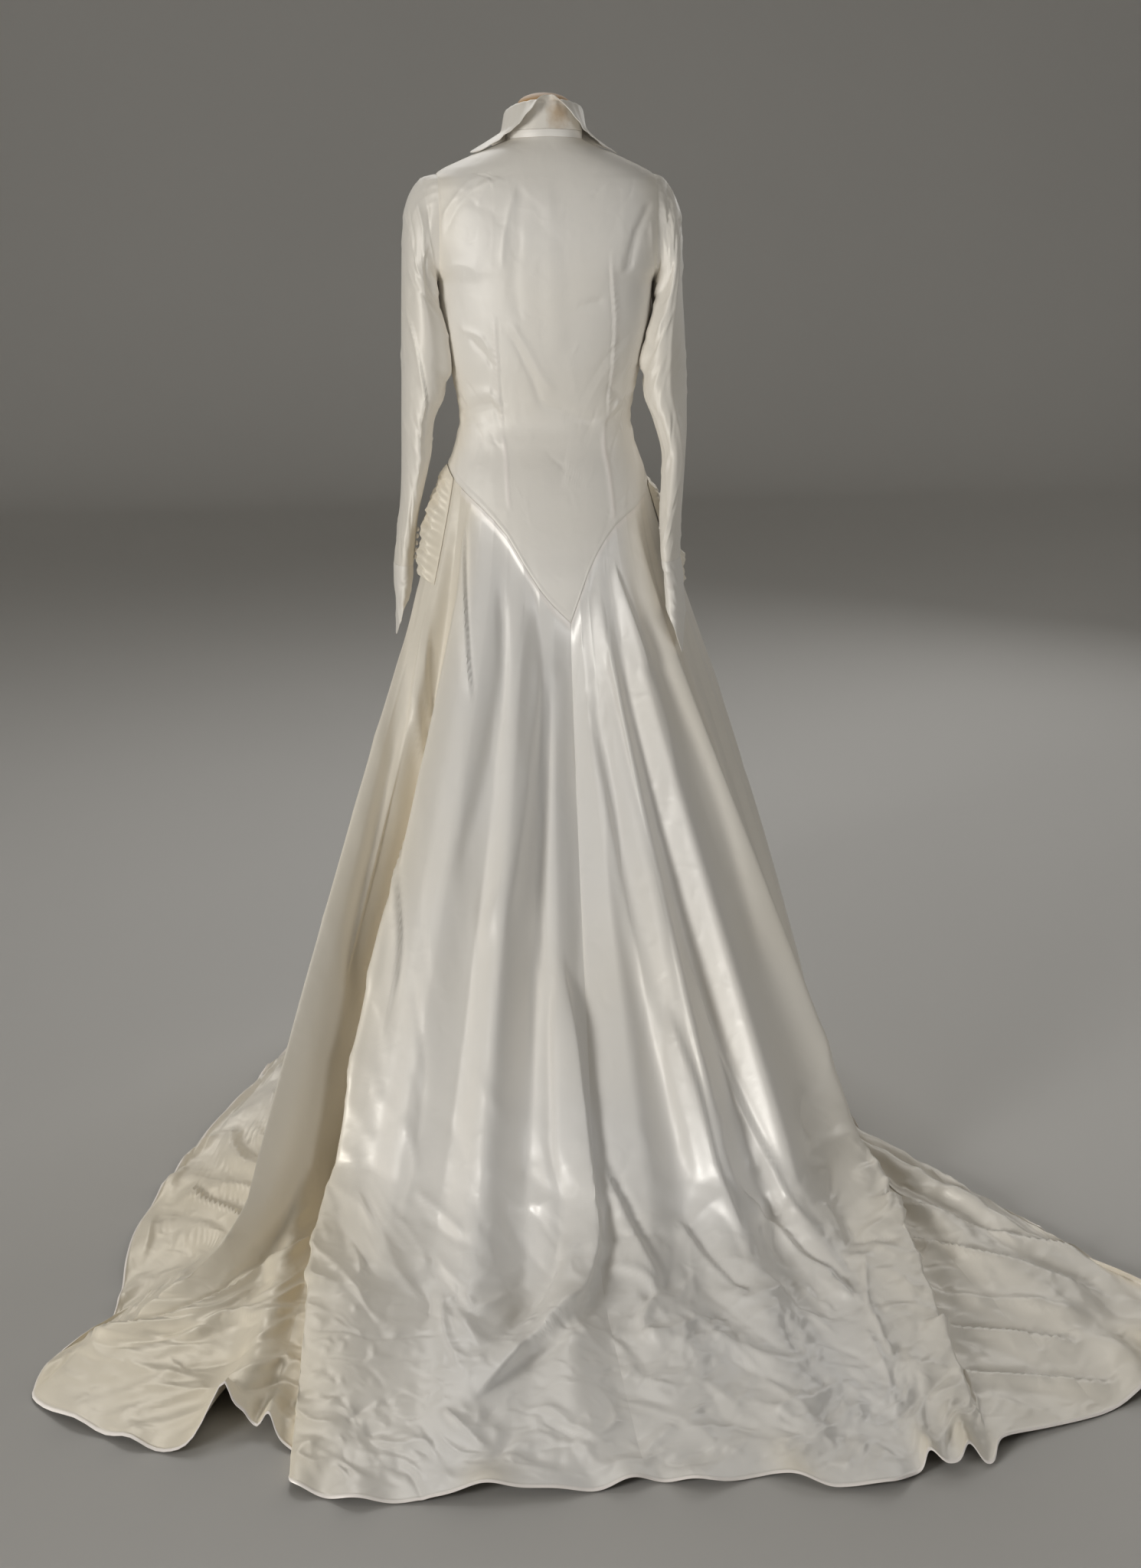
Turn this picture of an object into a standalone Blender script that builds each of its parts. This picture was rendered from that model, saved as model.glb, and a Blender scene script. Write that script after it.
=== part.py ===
"""A long-sleeved wedding dress with a train, standing on a limbless dress form.

Metres, +Z up. The origin is under the neck, on the floor. The front faces -Y and the train runs
towards +Y, so the wearer's left side is on +X.
"""
import math

import bmesh
import bpy
import numpy as np
from mathutils import Matrix, Vector

# Driving dimensions
BODICE_WALL = 0.0015
SKIRT_WALL = 0.0020
COLLAR_WALL = 0.0012
SEAM = 0.0003
SHOULDER_GAP = 0.0007
CROSS_POWER = 2.3
ARMHOLE_X = 0.163
UNDERARM_Z = 1.2365
SHOULDER_Z = 1.3915
UNDERARM_UP = 0.58
SHOULDER_UP = 0.90
V_ANGLE = -4.0
STAND_HEIGHT = 0.0105
WRIST_BUTTON = 0.0040
FRONT_BUTTON = 0.0055
FRONT_BUTTONS = 8
FRONT_BUTTON_TOP = 1.370
FRONT_BUTTON_STEP = 0.058
FRONT_BUTTON_SIDE = 0.0062
CUFF_BUTTONS = 5
CUFF_BUTTON_RING = 11.15
CUFF_BUTTON_STEP = 0.17
CUFF_BUTTON_TURN_LEFT = 150
CUFF_BUTTON_TURN_RIGHT = 212
BUTTON_FLATNESS = 0.6
CAP_TOP = 1.506
CAP_BOTTOM = 1.4843
FORM_NECK = 0.044
FORM_SIDE = 0.1480
FORM_HEIGHTS = (0.70, 0.80, 0.95, 1.13, 1.19, 1.22, 1.30, 1.40, 1.44)
FORM_INSETS = (0.024, 0.018, 0.007, 0.0035, 0.0070, 0.0100, 0.0120, 0.0125, 0.0075)
BASE_RADIUS = 0.150
BASE_THICK = 0.014
POLE_RADIUS = 0.014

# Cross sections of the bodice: height, half width, depth behind and before the side seams
BODY_COLUMNS = ("z", "half", "back", "front")
BODY = (
    (0.700, 0.158, 0.166, 0.100),
    (0.744, 0.166, 0.170, 0.104),
    (0.800, 0.171, 0.166, 0.108),
    (0.850, 0.171, 0.152, 0.108),
    (0.900, 0.166, 0.134, 0.104),
    (0.955, 0.154, 0.112, 0.096),
    (1.000, 0.138, 0.090, 0.086),
    (1.032, 0.132, 0.082, 0.082),
    (1.065, 0.136, 0.086, 0.087),
    (1.129, 0.150, 0.099, 0.108),
    (1.191, 0.161, 0.107, 0.124),
    (1.2365, 0.1635, 0.110, 0.128),
    (1.260, 0.175, 0.111, 0.124),
    (1.300, 0.185, 0.110, 0.112),
    (1.340, 0.187, 0.106, 0.096),
    (1.370, 0.183, 0.100, 0.080),
    (1.385, 0.175, 0.095, 0.072),
    (1.392, 0.163, 0.0922, 0.068),
    (1.400, 0.150, 0.0886, 0.066),
    (1.410, 0.127, 0.0834, 0.063),
    (1.420, 0.104, 0.077, 0.060),
    (1.430, 0.080, 0.069, 0.057),
    (1.440, 0.0565, 0.061, 0.055),
    (1.445, 0.0530, 0.058, 0.054),
)

# Neckline: angle from the centre back and height
NECKLINE = ((0, 1.444), (90, 1.440), (118, 1.4375), (142, 1.430), (160, 1.415), (180, 1.392))

# Basque seam on each side of its point at the back: angle and height
SEAM_LEFT = ((-4, 0.744), (4, 0.778), (12, 0.815), (20, 0.860), (30, 0.892), (45, 0.920),
             (60, 0.938), (90, 0.962), (120, 0.955), (150, 0.925), (180, 0.885))
SEAM_RIGHT = ((-180, 0.885), (-150, 0.912), (-120, 0.932), (-90, 0.940), (-60, 0.918),
              (-45, 0.903), (-30, 0.884), (-20, 0.856), (-12, 0.816), (-4, 0.744))

# Sleeve rings: the outer and inner edge seen from behind, the half depth, the middle's Y, and how far
# the back edge swings towards the body. The first ring is the armhole.
SLEEVE_COLUMNS = ("out_x", "out_z", "in_x", "in_z", "depth", "y", "swing")
SLEEVE_LEFT = (
    (0.165, 1.3915, 0.165, 1.2365, 0.060, 0.000, 0.000),
    (0.184, 1.385, 0.167, 1.226, 0.060, 0.000, 0.000),
    (0.199, 1.368, 0.170, 1.214, 0.062, 0.000, 0.000),
    (0.209, 1.342, 0.171, 1.200, 0.063, 0.000, 0.000),
    (0.2140, 1.300, 0.1655, 1.182, 0.065, 0.000, 0.000),
    (0.2165, 1.238, 0.1568, 1.154, 0.067, 0.000, 0.000),
    (0.2185, 1.165, 0.1515, 1.115, 0.067, -0.002, 0.000),
    (0.2200, 1.090, 0.1555, 1.070, 0.064, -0.004, 0.000),
    (0.2215, 1.030, 0.172, 1.028, 0.060, -0.006, 0.000),
    (0.2225, 0.980, 0.177, 0.980, 0.056, -0.008, 0.000),
    (0.2245, 0.930, 0.189, 0.930, 0.050, -0.008, 0.000),
    (0.2300, 0.875, 0.201, 0.875, 0.044, -0.006, 0.000),
    (0.2390, 0.812, 0.208, 0.812, 0.040, -0.005, 0.000),
)
SLEEVE_RIGHT = (
    (0.165, 1.3915, 0.165, 1.2365, 0.060, 0.000, 0.000),
    (0.180, 1.385, 0.167, 1.226, 0.060, 0.000, 0.000),
    (0.194, 1.366, 0.169, 1.214, 0.062, 0.000, 0.000),
    (0.204, 1.338, 0.169, 1.200, 0.063, 0.000, 0.000),
    (0.2080, 1.296, 0.165, 1.180, 0.065, 0.002, 0.002),
    (0.2105, 1.232, 0.1555, 1.150, 0.067, 0.006, 0.008),
    (0.2145, 1.160, 0.1510, 1.110, 0.067, 0.012, 0.016),
    (0.2160, 1.090, 0.152, 1.070, 0.064, 0.022, 0.020),
    (0.2155, 1.030, 0.163, 1.030, 0.060, 0.036, 0.013),
    (0.2100, 0.980, 0.173, 0.980, 0.055, 0.056, 0.008),
    (0.2020, 0.930, 0.167, 0.930, 0.048, 0.084, 0.008),
    (0.1935, 0.880, 0.160, 0.880, 0.041, 0.114, 0.010),
    (0.1880, 0.835, 0.160, 0.835, 0.034, 0.138, 0.012),
)

# Cuff rings under the sleeve's last ring: fall, outer and inner edge, half depth, Y
CUFF_COLUMNS = ("fall", "out_x", "in_x", "depth", "y", "swing")
CUFF_LEFT = (
    (0.000, 0.2395, 0.2080, 0.040, -0.005, 0.000),
    (0.030, 0.2400, 0.2110, 0.039, -0.004, 0.000),
    (0.060, 0.2375, 0.2190, 0.037, -0.003, 0.000),
    (0.114, 0.2390, 0.2270, 0.034, -0.002, 0.000),
)
CUFF_RIGHT = (
    (0.000, 0.1880, 0.1600, 0.034, 0.138, 0.012),
    (0.030, 0.1900, 0.1620, 0.033, 0.153, 0.012),
    (0.060, 0.1900, 0.1620, 0.031, 0.168, 0.011),
    (0.135, 0.1850, 0.1660, 0.027, 0.188, 0.008),
)
CUFF_SHORT = 0.50
CUFF_GAP = 0.0004

# Collar leaf: angle from the centre back, height that stands, how far the leaf rolls over, its length
# past the roll, and how far it bends out again over the shoulder
COLLAR_COLUMNS = ("angle", "stand", "roll", "leaf", "flare")
COLLAR = (
    (-168, 0.0060, 130, 0.014, 0),
    (-150, 0.0120, 155, 0.030, 40),
    (-128, 0.0185, 168, 0.046, 52),
    (-108, 0.0240, 170, 0.064, 50),
    (-90, 0.0270, 170, 0.084, 48),
    (-72, 0.0300, 168, 0.058, 38),
    (-54, 0.0325, 160, 0.044, 20),
    (-36, 0.0350, 145, 0.036, 0),
    (-20, 0.0362, 128, 0.023, 0),
    (-8, 0.0360, 72, 0.012, 0),
    (0, 0.0355, 12, 0.010, 0),
    (8, 0.0360, 64, 0.012, 0),
    (20, 0.0362, 122, 0.022, 0),
    (36, 0.0350, 143, 0.035, 0),
    (54, 0.0325, 160, 0.043, 20),
    (72, 0.0300, 168, 0.057, 38),
    (90, 0.0270, 170, 0.084, 48),
    (108, 0.0240, 170, 0.064, 50),
    (128, 0.0185, 168, 0.046, 52),
    (150, 0.0120, 155, 0.030, 40),
    (168, 0.0060, 130, 0.014, 0),
)
COLLAR_ROLL_RADIUS = 0.0035
COLLAR_BEND_RADIUS = 0.012
COLLAR_DROP = -0.0035
COLLAR_LEAN = -14.0
COLLAR_GAP = 0.0011
COLLAR_SHORTEST_DROP = 0.002

# Lines of the skirt, round from the centre front by the wearer's right: the angle on the basque seam,
# where the line meets the floor, where it ends at the hem, how far it stands out at the hip and then
# further down (a ridge, or a valley where less than 0), its height along the floor and at the hem
FOLD_COLUMNS = ("top", "foot_x", "foot_y", "hem_x", "hem_y", "hip", "puff", "lift", "hem_lift")
FOLDS = (
    (-180, 0.000, -0.335, 0.000, -0.385, 0.000, 0.000, 0.000, 0.000),
    (-160, -0.145, -0.300, -0.160, -0.350, 0.000, 0.010, 0.000, 0.000),
    (-140, -0.265, -0.210, -0.300, -0.250, 0.004, -0.006, 0.000, 0.000),
    (-125, -0.345, -0.080, -0.390, -0.100, 0.010, 0.012, 0.000, 0.000),
    (-112, -0.370, 0.080, -0.420, 0.095, 0.016, -0.002, 0.000, 0.000),
    (-104, -0.368, 0.210, -0.420, 0.270, 0.026, 0.018, 0.004, 0.000),
    (-97, -0.370, 0.310, -0.420, 0.430, 0.026, 0.018, 0.006, 0.000),
    (-90, -0.372, 0.400, -0.480, 0.600, 0.024, 0.024, 0.012, 0.000),
    (-84, -0.380, 0.455, -0.575, 0.745, 0.020, 0.026, 0.026, 0.000),
    (-78, -0.380, 0.490, -0.650, 0.910, 0.016, 0.018, 0.008, 0.000),
    (-72, -0.384, 0.520, -0.700, 0.985, 0.010, 0.022, 0.026, 0.000),
    (-66, -0.384, 0.545, -0.665, 1.055, 0.006, 0.010, 0.008, 0.000),
    (-60, -0.384, 0.565, -0.600, 1.115, 0.003, 0.010, 0.022, 0.000),
    (-55, -0.378, 0.578, -0.510, 1.165, 0.000, -0.004, 0.004, 0.000),
    (-51, -0.352, 0.590, -0.370, 1.205, 0.000, -0.004, 0.014, 0.000),
    (-46, -0.398, 0.642, -0.345, 1.238, 0.002, 0.022, 0.040, 0.000),
    (-38, -0.322, 0.690, -0.300, 1.242, 0.000, 0.006, 0.030, 0.000),
    (-30, -0.270, 0.765, -0.262, 1.243, 0.000, 0.009, 0.020, 0.000),
    (-23, -0.215, 0.730, -0.222, 1.262, 0.000, -0.008, 0.006, 0.000),
    (-17, -0.165, 0.800, -0.160, 1.256, 0.000, 0.011, 0.018, 0.000),
    (-12, -0.100, 0.770, -0.090, 1.222, 0.000, -0.004, 0.006, 0.000),
    (-8, -0.040, 0.810, -0.030, 1.230, 0.000, 0.003, 0.010, 0.000),
    (-4, 0.036, 0.815, 0.045, 1.214, 0.000, -0.002, 0.004, 0.000),
    (2, 0.085, 0.805, 0.110, 1.222, 0.000, 0.008, 0.020, 0.000),
    (8, 0.130, 0.755, 0.180, 1.218, 0.000, -0.006, 0.004, 0.000),
    (15, 0.200, 0.795, 0.255, 1.213, 0.000, 0.011, 0.016, 0.000),
    (23, 0.250, 0.720, 0.315, 1.212, 0.000, -0.006, 0.006, 0.000),
    (31, 0.312, 0.715, 0.365, 1.208, 0.000, 0.006, 0.018, 0.000),
    (39, 0.350, 0.665, 0.395, 1.195, 0.000, 0.006, 0.032, 0.000),
    (47, 0.400, 0.640, 0.440, 1.165, 0.002, 0.012, 0.042, 0.000),
    (53, 0.355, 0.555, 0.430, 1.120, -0.002, -0.010, 0.015, 0.000),
    (59, 0.378, 0.515, 0.470, 1.075, -0.002, -0.016, 0.004, 0.000),
    (66, 0.425, 0.595, 0.500, 1.052, 0.000, 0.000, 0.016, 0.020),
    (73, 0.450, 0.630, 0.565, 1.088, 0.002, -0.004, 0.006, 0.000),
    (79, 0.485, 0.690, 0.650, 1.045, 0.002, 0.004, 0.020, 0.000),
    (86, 0.525, 0.738, 0.745, 0.950, 0.004, 0.007, 0.038, 0.000),
    (90, 0.458, 0.610, 0.728, 0.890, 0.003, -0.006, 0.012, 0.000),
    (97, 0.415, 0.470, 0.658, 0.780, 0.001, -0.006, 0.006, 0.000),
    (102, 0.400, 0.380, 0.652, 0.625, 0.001, -0.002, 0.010, 0.000),
    (108, 0.390, 0.280, 0.605, 0.430, 0.000, -0.006, 0.004, 0.000),
    (115, 0.385, 0.170, 0.535, 0.250, 0.000, 0.000, 0.006, 0.000),
    (124, 0.375, 0.030, 0.452, 0.060, 0.000, -0.004, 0.002, 0.000),
    (136, 0.325, -0.130, 0.368, -0.140, 0.000, 0.008, 0.000, 0.000),
    (150, 0.225, -0.255, 0.255, -0.295, 0.000, -0.006, 0.000, 0.000),
    (165, 0.115, -0.320, 0.125, -0.368, 0.000, 0.010, 0.000, 0.000),
)
# Gores: the first and last line of the skirt that each one spans
GORES = (
    ("skirt_side_right", 4, 13),
    ("skirt_back_right", 13, 22),
    ("skirt_back_left", 22, 31),
    ("skirt_side_left", 31, 41),
    ("skirt_front", 41, 49),
)
SKIRT_PROUD = 0.0004
SKIRT_DROP = 0.17
SKIRT_FLARE = 0.10
SKIRT_SETTLE = 0.10
SHORT_SETTLE = 0.4
PUFF_AT_HIP = 0.4
PUFF_LOWER = 1.9
KNEE_HEIGHT = 0.085
FLOOR_REST = 0.0022
UPPER_SHARE = 0.56
BEND_SHARE = 0.16

# Hip drapes: the skirt lines each one spans, gathers and their height
DRAPES = (("hip_drape_left", 32.5, 38.5), ("hip_drape_right", 5.5, 9.5))
DRAPE_LENGTH = 0.125
DRAPE_LIFT = 0.0058
DRAPE_GATHERS = 4.5
GATHER_SLOPE = 0.9
GATHER_DEPTH = 0.0045
DRAPE_EDGE = 0.18
DRAPE_SEAT = 0.0016
DRAPE_PUFF = 0.010

# Lines of the skirt that the bodice's columns meet on the basque seam, so that both edges are one
# polyline. No seam between two gores is on one of them but the centre back.
BACK_LINES = (7, 9, 11, 12, 14, 15, 16, 17, 18, 19, 20, 21, 22, 23, 24, 25, 26, 27, 28, 29, 30, 32, 34,
              36)
LEFT_LINES = (36, 37, 39, 40.5, 41.5, 42.5, 43.5, 44.25, 45)
RIGHT_LINES = (0, 0.75, 1.5, 2.25, 3, 3.5, 4.5, 5.5, 7)
FRONT_GORE_LINES = (41, 41.1, 41.5, 42, 42.5, 43, 43.5, 44.25, 45, 45.75, 46.5, 47.25, 48, 48.5, 48.9,
                    49)
SEAM_STRIP = 0.5
GORE_STRIP = 0.1

MATERIALS = {
    "satin": ((0.80, 0.77, 0.70), 0.34, 0.0),
    "covered button": ((0.82, 0.79, 0.72), 0.38, 0.0),
    "form cloth": ((0.42, 0.27, 0.12), 0.80, 0.0),
    "lacquered wood": ((0.30, 0.17, 0.08), 0.40, 0.0),
    "painted steel": ((0.08, 0.08, 0.09), 0.35, 0.9),
}


def smooth(knots, values, at):
    """A monotone cubic curve through the values, which never passes them."""
    knots = np.asarray(knots, float)
    values = np.asarray(values, float)
    at = np.clip(np.asarray(at, float), knots[0], knots[-1])
    step = np.diff(knots)
    slope = np.diff(values) / step
    tangent = np.zeros_like(values)
    same = slope[:-1] * slope[1:] > 0
    wide = 2 * step[1:] + step[:-1]
    narrow = step[1:] + 2 * step[:-1]
    inner = np.zeros_like(slope[1:])
    a = slope[:-1][same]
    b = slope[1:][same]
    inner[same] = (wide + narrow)[same] / (wide[same] / a + narrow[same] / b)
    tangent[1:-1] = inner
    tangent[0] = slope[0]
    tangent[-1] = slope[-1]
    i = np.clip(np.searchsorted(knots, at, side="right") - 1, 0, len(step) - 1)
    h = step[i]
    t = (at - knots[i]) / h
    start = (1 + 2 * t) * (1 - t) ** 2 * values[i] + t * (1 - t) ** 2 * h * tangent[i]
    end = t * t * (3 - 2 * t) * values[i + 1] + t * t * (t - 1) * h * tangent[i + 1]
    return start + end


def table_value(table, columns, name, at):
    """The named column of a table whose first column is the knot."""
    k = columns.index(name)
    return smooth([row[0] for row in table], [row[k] for row in table], at)


def body(angle, z):
    """Point of the bodice's outer surface at an angle from the centre back, in degrees."""
    angle = np.radians(angle)
    half = table_value(BODY, BODY_COLUMNS, "half", z)
    back = table_value(BODY, BODY_COLUMNS, "back", z)
    front = table_value(BODY, BODY_COLUMNS, "front", z)
    s = np.sin(angle)
    c = np.cos(angle)
    x = half * np.sign(s) * np.abs(s) ** (2 / CROSS_POWER)
    y = np.where(c > 0, back, front) * np.sign(c) * np.abs(c) ** (2 / CROSS_POWER)
    return np.stack([x, y, np.broadcast_to(z, x.shape)], axis=-1)


def neck_height(angle):
    """Height of the neckline."""
    return smooth([row[0] for row in NECKLINE], [row[1] for row in NECKLINE], np.abs(angle))


def seam_height(angle):
    """Height of the basque seam, which comes to a point at the back."""
    angle = (np.asarray(angle, float) + 180) % 360 - 180
    left = smooth([row[0] for row in SEAM_LEFT], [row[1] for row in SEAM_LEFT], angle)
    right = smooth([row[0] for row in SEAM_RIGHT], [row[1] for row in SEAM_RIGHT], angle)
    return np.where(angle >= V_ANGLE, left, right)


def side_angle(z):
    """Angle at which a panel ends at a height: the side seam, the armhole or the shoulder seam."""
    half = table_value(BODY, BODY_COLUMNS, "half", z)
    part = np.clip(ARMHOLE_X / half, 0, 1) ** (CROSS_POWER / 2)
    armhole = np.degrees(np.arcsin(part))
    return np.where((z > UNDERARM_Z) & (z < SHOULDER_Z), armhole, 90.0)


def side_depth(z, behind):
    """Distance of the armhole's edge from its middle at a height."""
    angle = side_angle(z) if behind else 180 - side_angle(z)
    return np.abs(body(angle, z)[..., 1])


def bodice_point(nominal, up, front):
    """Point of a bodice panel: the angle of its line on the basque seam, up 0..1 to the neck."""
    low = seam_height(nominal) + SEAM / 2
    high = neck_height(nominal)
    even = low + (high - low) * up
    fixed = np.where(up < UNDERARM_UP, low + (UNDERARM_Z - low) * up / UNDERARM_UP,
                     np.where(up < SHOULDER_UP,
                              UNDERARM_Z + (SHOULDER_Z - UNDERARM_Z) * (up - UNDERARM_UP)
                              / (SHOULDER_UP - UNDERARM_UP),
                              SHOULDER_Z + (high - SHOULDER_Z) * (up - SHOULDER_UP)
                              / (1 - SHOULDER_UP)))
    inside = np.clip(np.abs(90 - np.abs(nominal)) / 40, 0, 1)
    inside = inside * inside * (3 - 2 * inside)
    z = np.where(up >= 1, high, fixed + (even - fixed) * inside)
    limit = side_angle(z)
    turned = np.sign(nominal) * (180 - (180 - np.abs(nominal)) * limit / 90)
    angle = turned if front else nominal * limit / 90
    return body(angle, z)


def seam_point(angle):
    """Point of the basque seam, straight between the lines of the bodice."""
    knots = fold_value("top", np.array(RIGHT_LINES + BACK_LINES[1:] + LEFT_LINES[1:], float))
    points = body(knots, seam_height(knots))
    angle = (np.asarray(angle, float) + 180) % 360 - 180
    return np.stack([np.interp(angle, knots, points[:, k]) for k in range(3)], axis=-1)


def sleeve_value(table, columns, name, ring):
    """A column of a sleeve table at a ring number."""
    k = columns.index(name)
    return smooth(np.arange(len(table)), [row[k] for row in table], ring)


def sleeve_point(table, side, phi, ring):
    """Point of a sleeve: phi round from its outer edge, ring down from the armhole."""
    out_x = sleeve_value(table, SLEEVE_COLUMNS, "out_x", ring)
    out_z = sleeve_value(table, SLEEVE_COLUMNS, "out_z", ring)
    in_x = sleeve_value(table, SLEEVE_COLUMNS, "in_x", ring)
    in_z = sleeve_value(table, SLEEVE_COLUMNS, "in_z", ring)
    depth = sleeve_value(table, SLEEVE_COLUMNS, "depth", ring)
    y = sleeve_value(table, SLEEVE_COLUMNS, "y", ring)
    swing = sleeve_value(table, SLEEVE_COLUMNS, "swing", ring)
    c = np.cos(phi)
    s = np.sin(phi)
    z = (out_z + in_z) / 2 + c * (out_z - in_z) / 2
    hole = np.where(s > 0, side_depth(z, True), side_depth(z, False))
    near = np.clip(1 - ring, 0, 1)
    wide = np.abs(s) * depth * (1 - near) + hole * near
    x = (out_x + in_x) / 2 + c * (out_x - in_x) / 2 - swing * s
    return np.stack([side * x, y + np.sign(s) * wide, z], axis=-1)


def cuff_point(table, side, top_z, phi, down):
    """Point of a cuff: its lower edge runs to a point on the outer side."""
    reach = CUFF_SHORT + (1 - CUFF_SHORT) * ((1 + np.cos(phi)) / 2) ** 1.5
    full = table[-1][0]
    fall = full * down * reach
    out_x = table_value(table, CUFF_COLUMNS, "out_x", fall)
    in_x = table_value(table, CUFF_COLUMNS, "in_x", fall)
    depth = table_value(table, CUFF_COLUMNS, "depth", fall)
    y = table_value(table, CUFF_COLUMNS, "y", fall)
    swing = table_value(table, CUFF_COLUMNS, "swing", fall)
    x = (out_x + in_x) / 2 + np.cos(phi) * (out_x - in_x) / 2 - swing * np.sin(phi)
    return np.stack([side * x, y + np.sin(phi) * depth, top_z - CUFF_GAP - fall], axis=-1)


def neck_point(angle):
    """Point of the neckline."""
    return body(angle, neck_height(angle))


def collar_point(angle, along):
    """Point of the collar leaf: along 0..1 from the stand, over the roll and out to the edge."""
    stand = table_value(COLLAR, COLLAR_COLUMNS, "stand", angle)
    roll = np.radians(table_value(COLLAR, COLLAR_COLUMNS, "roll", angle))
    leaf = table_value(COLLAR, COLLAR_COLUMNS, "leaf", angle)
    flare = np.radians(table_value(COLLAR, COLLAR_COLUMNS, "flare", angle))
    lean = math.radians(COLLAR_LEAN)
    base = neck_point(angle)
    arc = COLLAR_ROLL_RADIUS * (roll - lean)
    total = stand + arc + leaf
    run = along * total
    straight = np.minimum(run, stand)
    turned = np.clip((run - stand) / COLLAR_ROLL_RADIUS, 0, roll - lean)
    beyond = np.clip(run - stand - arc, 0, None)
    reach = COLLAR_ROLL_RADIUS * (math.cos(lean) - np.cos(lean + turned))
    rise = COLLAR_ROLL_RADIUS * (np.sin(lean + turned) - math.sin(lean))
    # Past the stand's own depth the leaf bends out, on to the shoulder
    near = np.minimum(beyond, np.maximum(stand + COLLAR_DROP, COLLAR_SHORTEST_DROP))
    bend = np.clip(beyond - near, 0, COLLAR_BEND_RADIUS * flare) / COLLAR_BEND_RADIUS
    far = beyond - near - COLLAR_BEND_RADIUS * bend
    reach = reach + straight * math.sin(lean) + near * np.sin(roll) + far * np.sin(roll - flare)
    rise = rise + straight * math.cos(lean) + near * np.cos(roll) + far * np.cos(roll - flare)
    reach = reach + COLLAR_BEND_RADIUS * (np.cos(roll - bend) - np.cos(roll))
    rise = rise + COLLAR_BEND_RADIUS * (np.sin(roll) - np.sin(roll - bend))
    flat = base[..., :2] / np.linalg.norm(base[..., :2], axis=-1, keepdims=True)
    x = base[..., 0] + flat[..., 0] * reach
    y = base[..., 1] + flat[..., 1] * reach
    z = base[..., 2] + STAND_HEIGHT + COLLAR_GAP + rise
    return np.stack([x, y, z], axis=-1)


def fold_value(name, line):
    """A column of the skirt's table at a line number, which runs on past the centre front."""
    k = FOLD_COLUMNS.index(name)
    count = len(FOLDS)
    values = [row[k] for row in FOLDS]
    turn = 360 if name == "top" else 0
    ring = [v - turn for v in values[-3:]] + values + [v + turn for v in values[:12]]
    return smooth(np.arange(-3, count + 12), ring, line)


def skirt_point(line, down):
    """Point of the skirt: line round it, down 0..1 from the basque seam to the hem."""
    top = fold_value("top", line)
    hip = fold_value("hip", line)
    puff = fold_value("puff", line)
    lift = fold_value("lift", line)
    hem_lift = fold_value("hem_lift", line)
    seam = seam_point(top)
    height = seam[..., 2]
    radial = np.stack([np.sin(np.radians(top)), np.cos(np.radians(top)), np.zeros_like(top)], axis=-1)
    seam = seam + SKIRT_PROUD * radial - np.array([0, 0, 1.5 * SEAM])
    foot = np.stack([fold_value("foot_x", line), fold_value("foot_y", line), 0 * top], axis=-1)
    hem = np.stack([fold_value("hem_x", line), fold_value("hem_y", line), 0 * top], axis=-1)
    spring = SKIRT_FLARE * SKIRT_DROP + hip + PUFF_AT_HIP * puff
    below = body(top, height - SKIRT_DROP) + radial * spring[..., None]
    knee = foot + (below - foot) * (KNEE_HEIGHT / below[..., 2])[..., None]
    low = foot + (below - foot) * 0.40 + radial * (PUFF_LOWER * puff)[..., None]
    run = hem - foot
    length = np.linalg.norm(run, axis=-1)
    settle = foot + run * (np.minimum(SKIRT_SETTLE, SHORT_SETTLE * length) / length)[..., None]
    foot = foot + np.array([0, 0, 1.0]) * (FLOOR_REST + lift)[..., None]
    settle = settle + np.array([0, 0, 1.0]) * (FLOOR_REST + lift)[..., None]
    t = np.clip(down / UPPER_SHARE, 0, 1)[..., None]
    upper = ((1 - t) ** 3 * seam + 3 * (1 - t) ** 2 * t * below + 3 * (1 - t) * t * t * low
             + t ** 3 * knee)
    t = np.clip((down - UPPER_SHARE) / BEND_SHARE, 0, 1)[..., None]
    bend = (1 - t) ** 2 * knee + 2 * (1 - t) * t * foot + t * t * settle
    t = np.clip((down - UPPER_SHARE - BEND_SHARE) / (1 - UPPER_SHARE - BEND_SHARE), 0, 1)
    end = hem + np.array([0, 0, 1.0]) * (FLOOR_REST + hem_lift)[..., None]
    floor = settle + (end - settle) * t[..., None]
    ease = (lift * ((1 - t) ** 0.7 - (1 - t)))[..., None] * np.array([0, 0, 1.0])
    floor = floor + ease
    place = down[..., None]
    out = np.where(place <= UPPER_SHARE, upper, bend)
    return np.where(place <= UPPER_SHARE + BEND_SHARE, out, floor)


def drape_point(first, last, across, down):
    """Point of a gathered hip drape: the skirt's own point, moved out."""
    line = first + (last - first) * across
    part = down * DRAPE_LENGTH
    gather = np.sin(2 * np.pi * (DRAPE_GATHERS * down + GATHER_SLOPE * across)) * 0.5 + 0.5
    edge = np.clip(np.minimum(across, 1 - across) / DRAPE_EDGE, 0, 1)
    edge = edge * edge * (3 - 2 * edge)
    ease = np.clip(down / 0.12, 0, 1)
    rest = DRAPE_SEAT + (DRAPE_LIFT - DRAPE_SEAT) * np.clip(down / 0.06, 0, 1)
    bulge = np.sin(np.pi * np.clip(down, 0, 1) ** 1.5)
    out = rest + edge * ease * (DRAPE_PUFF * bulge + GATHER_DEPTH * gather * (0.4 + 0.6 * bulge))
    top = np.radians(fold_value("top", line))
    radial = np.stack([np.sin(top), np.cos(top), np.zeros_like(top)], axis=-1)
    return skirt_point(line, part) + radial * out[..., None]


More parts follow.
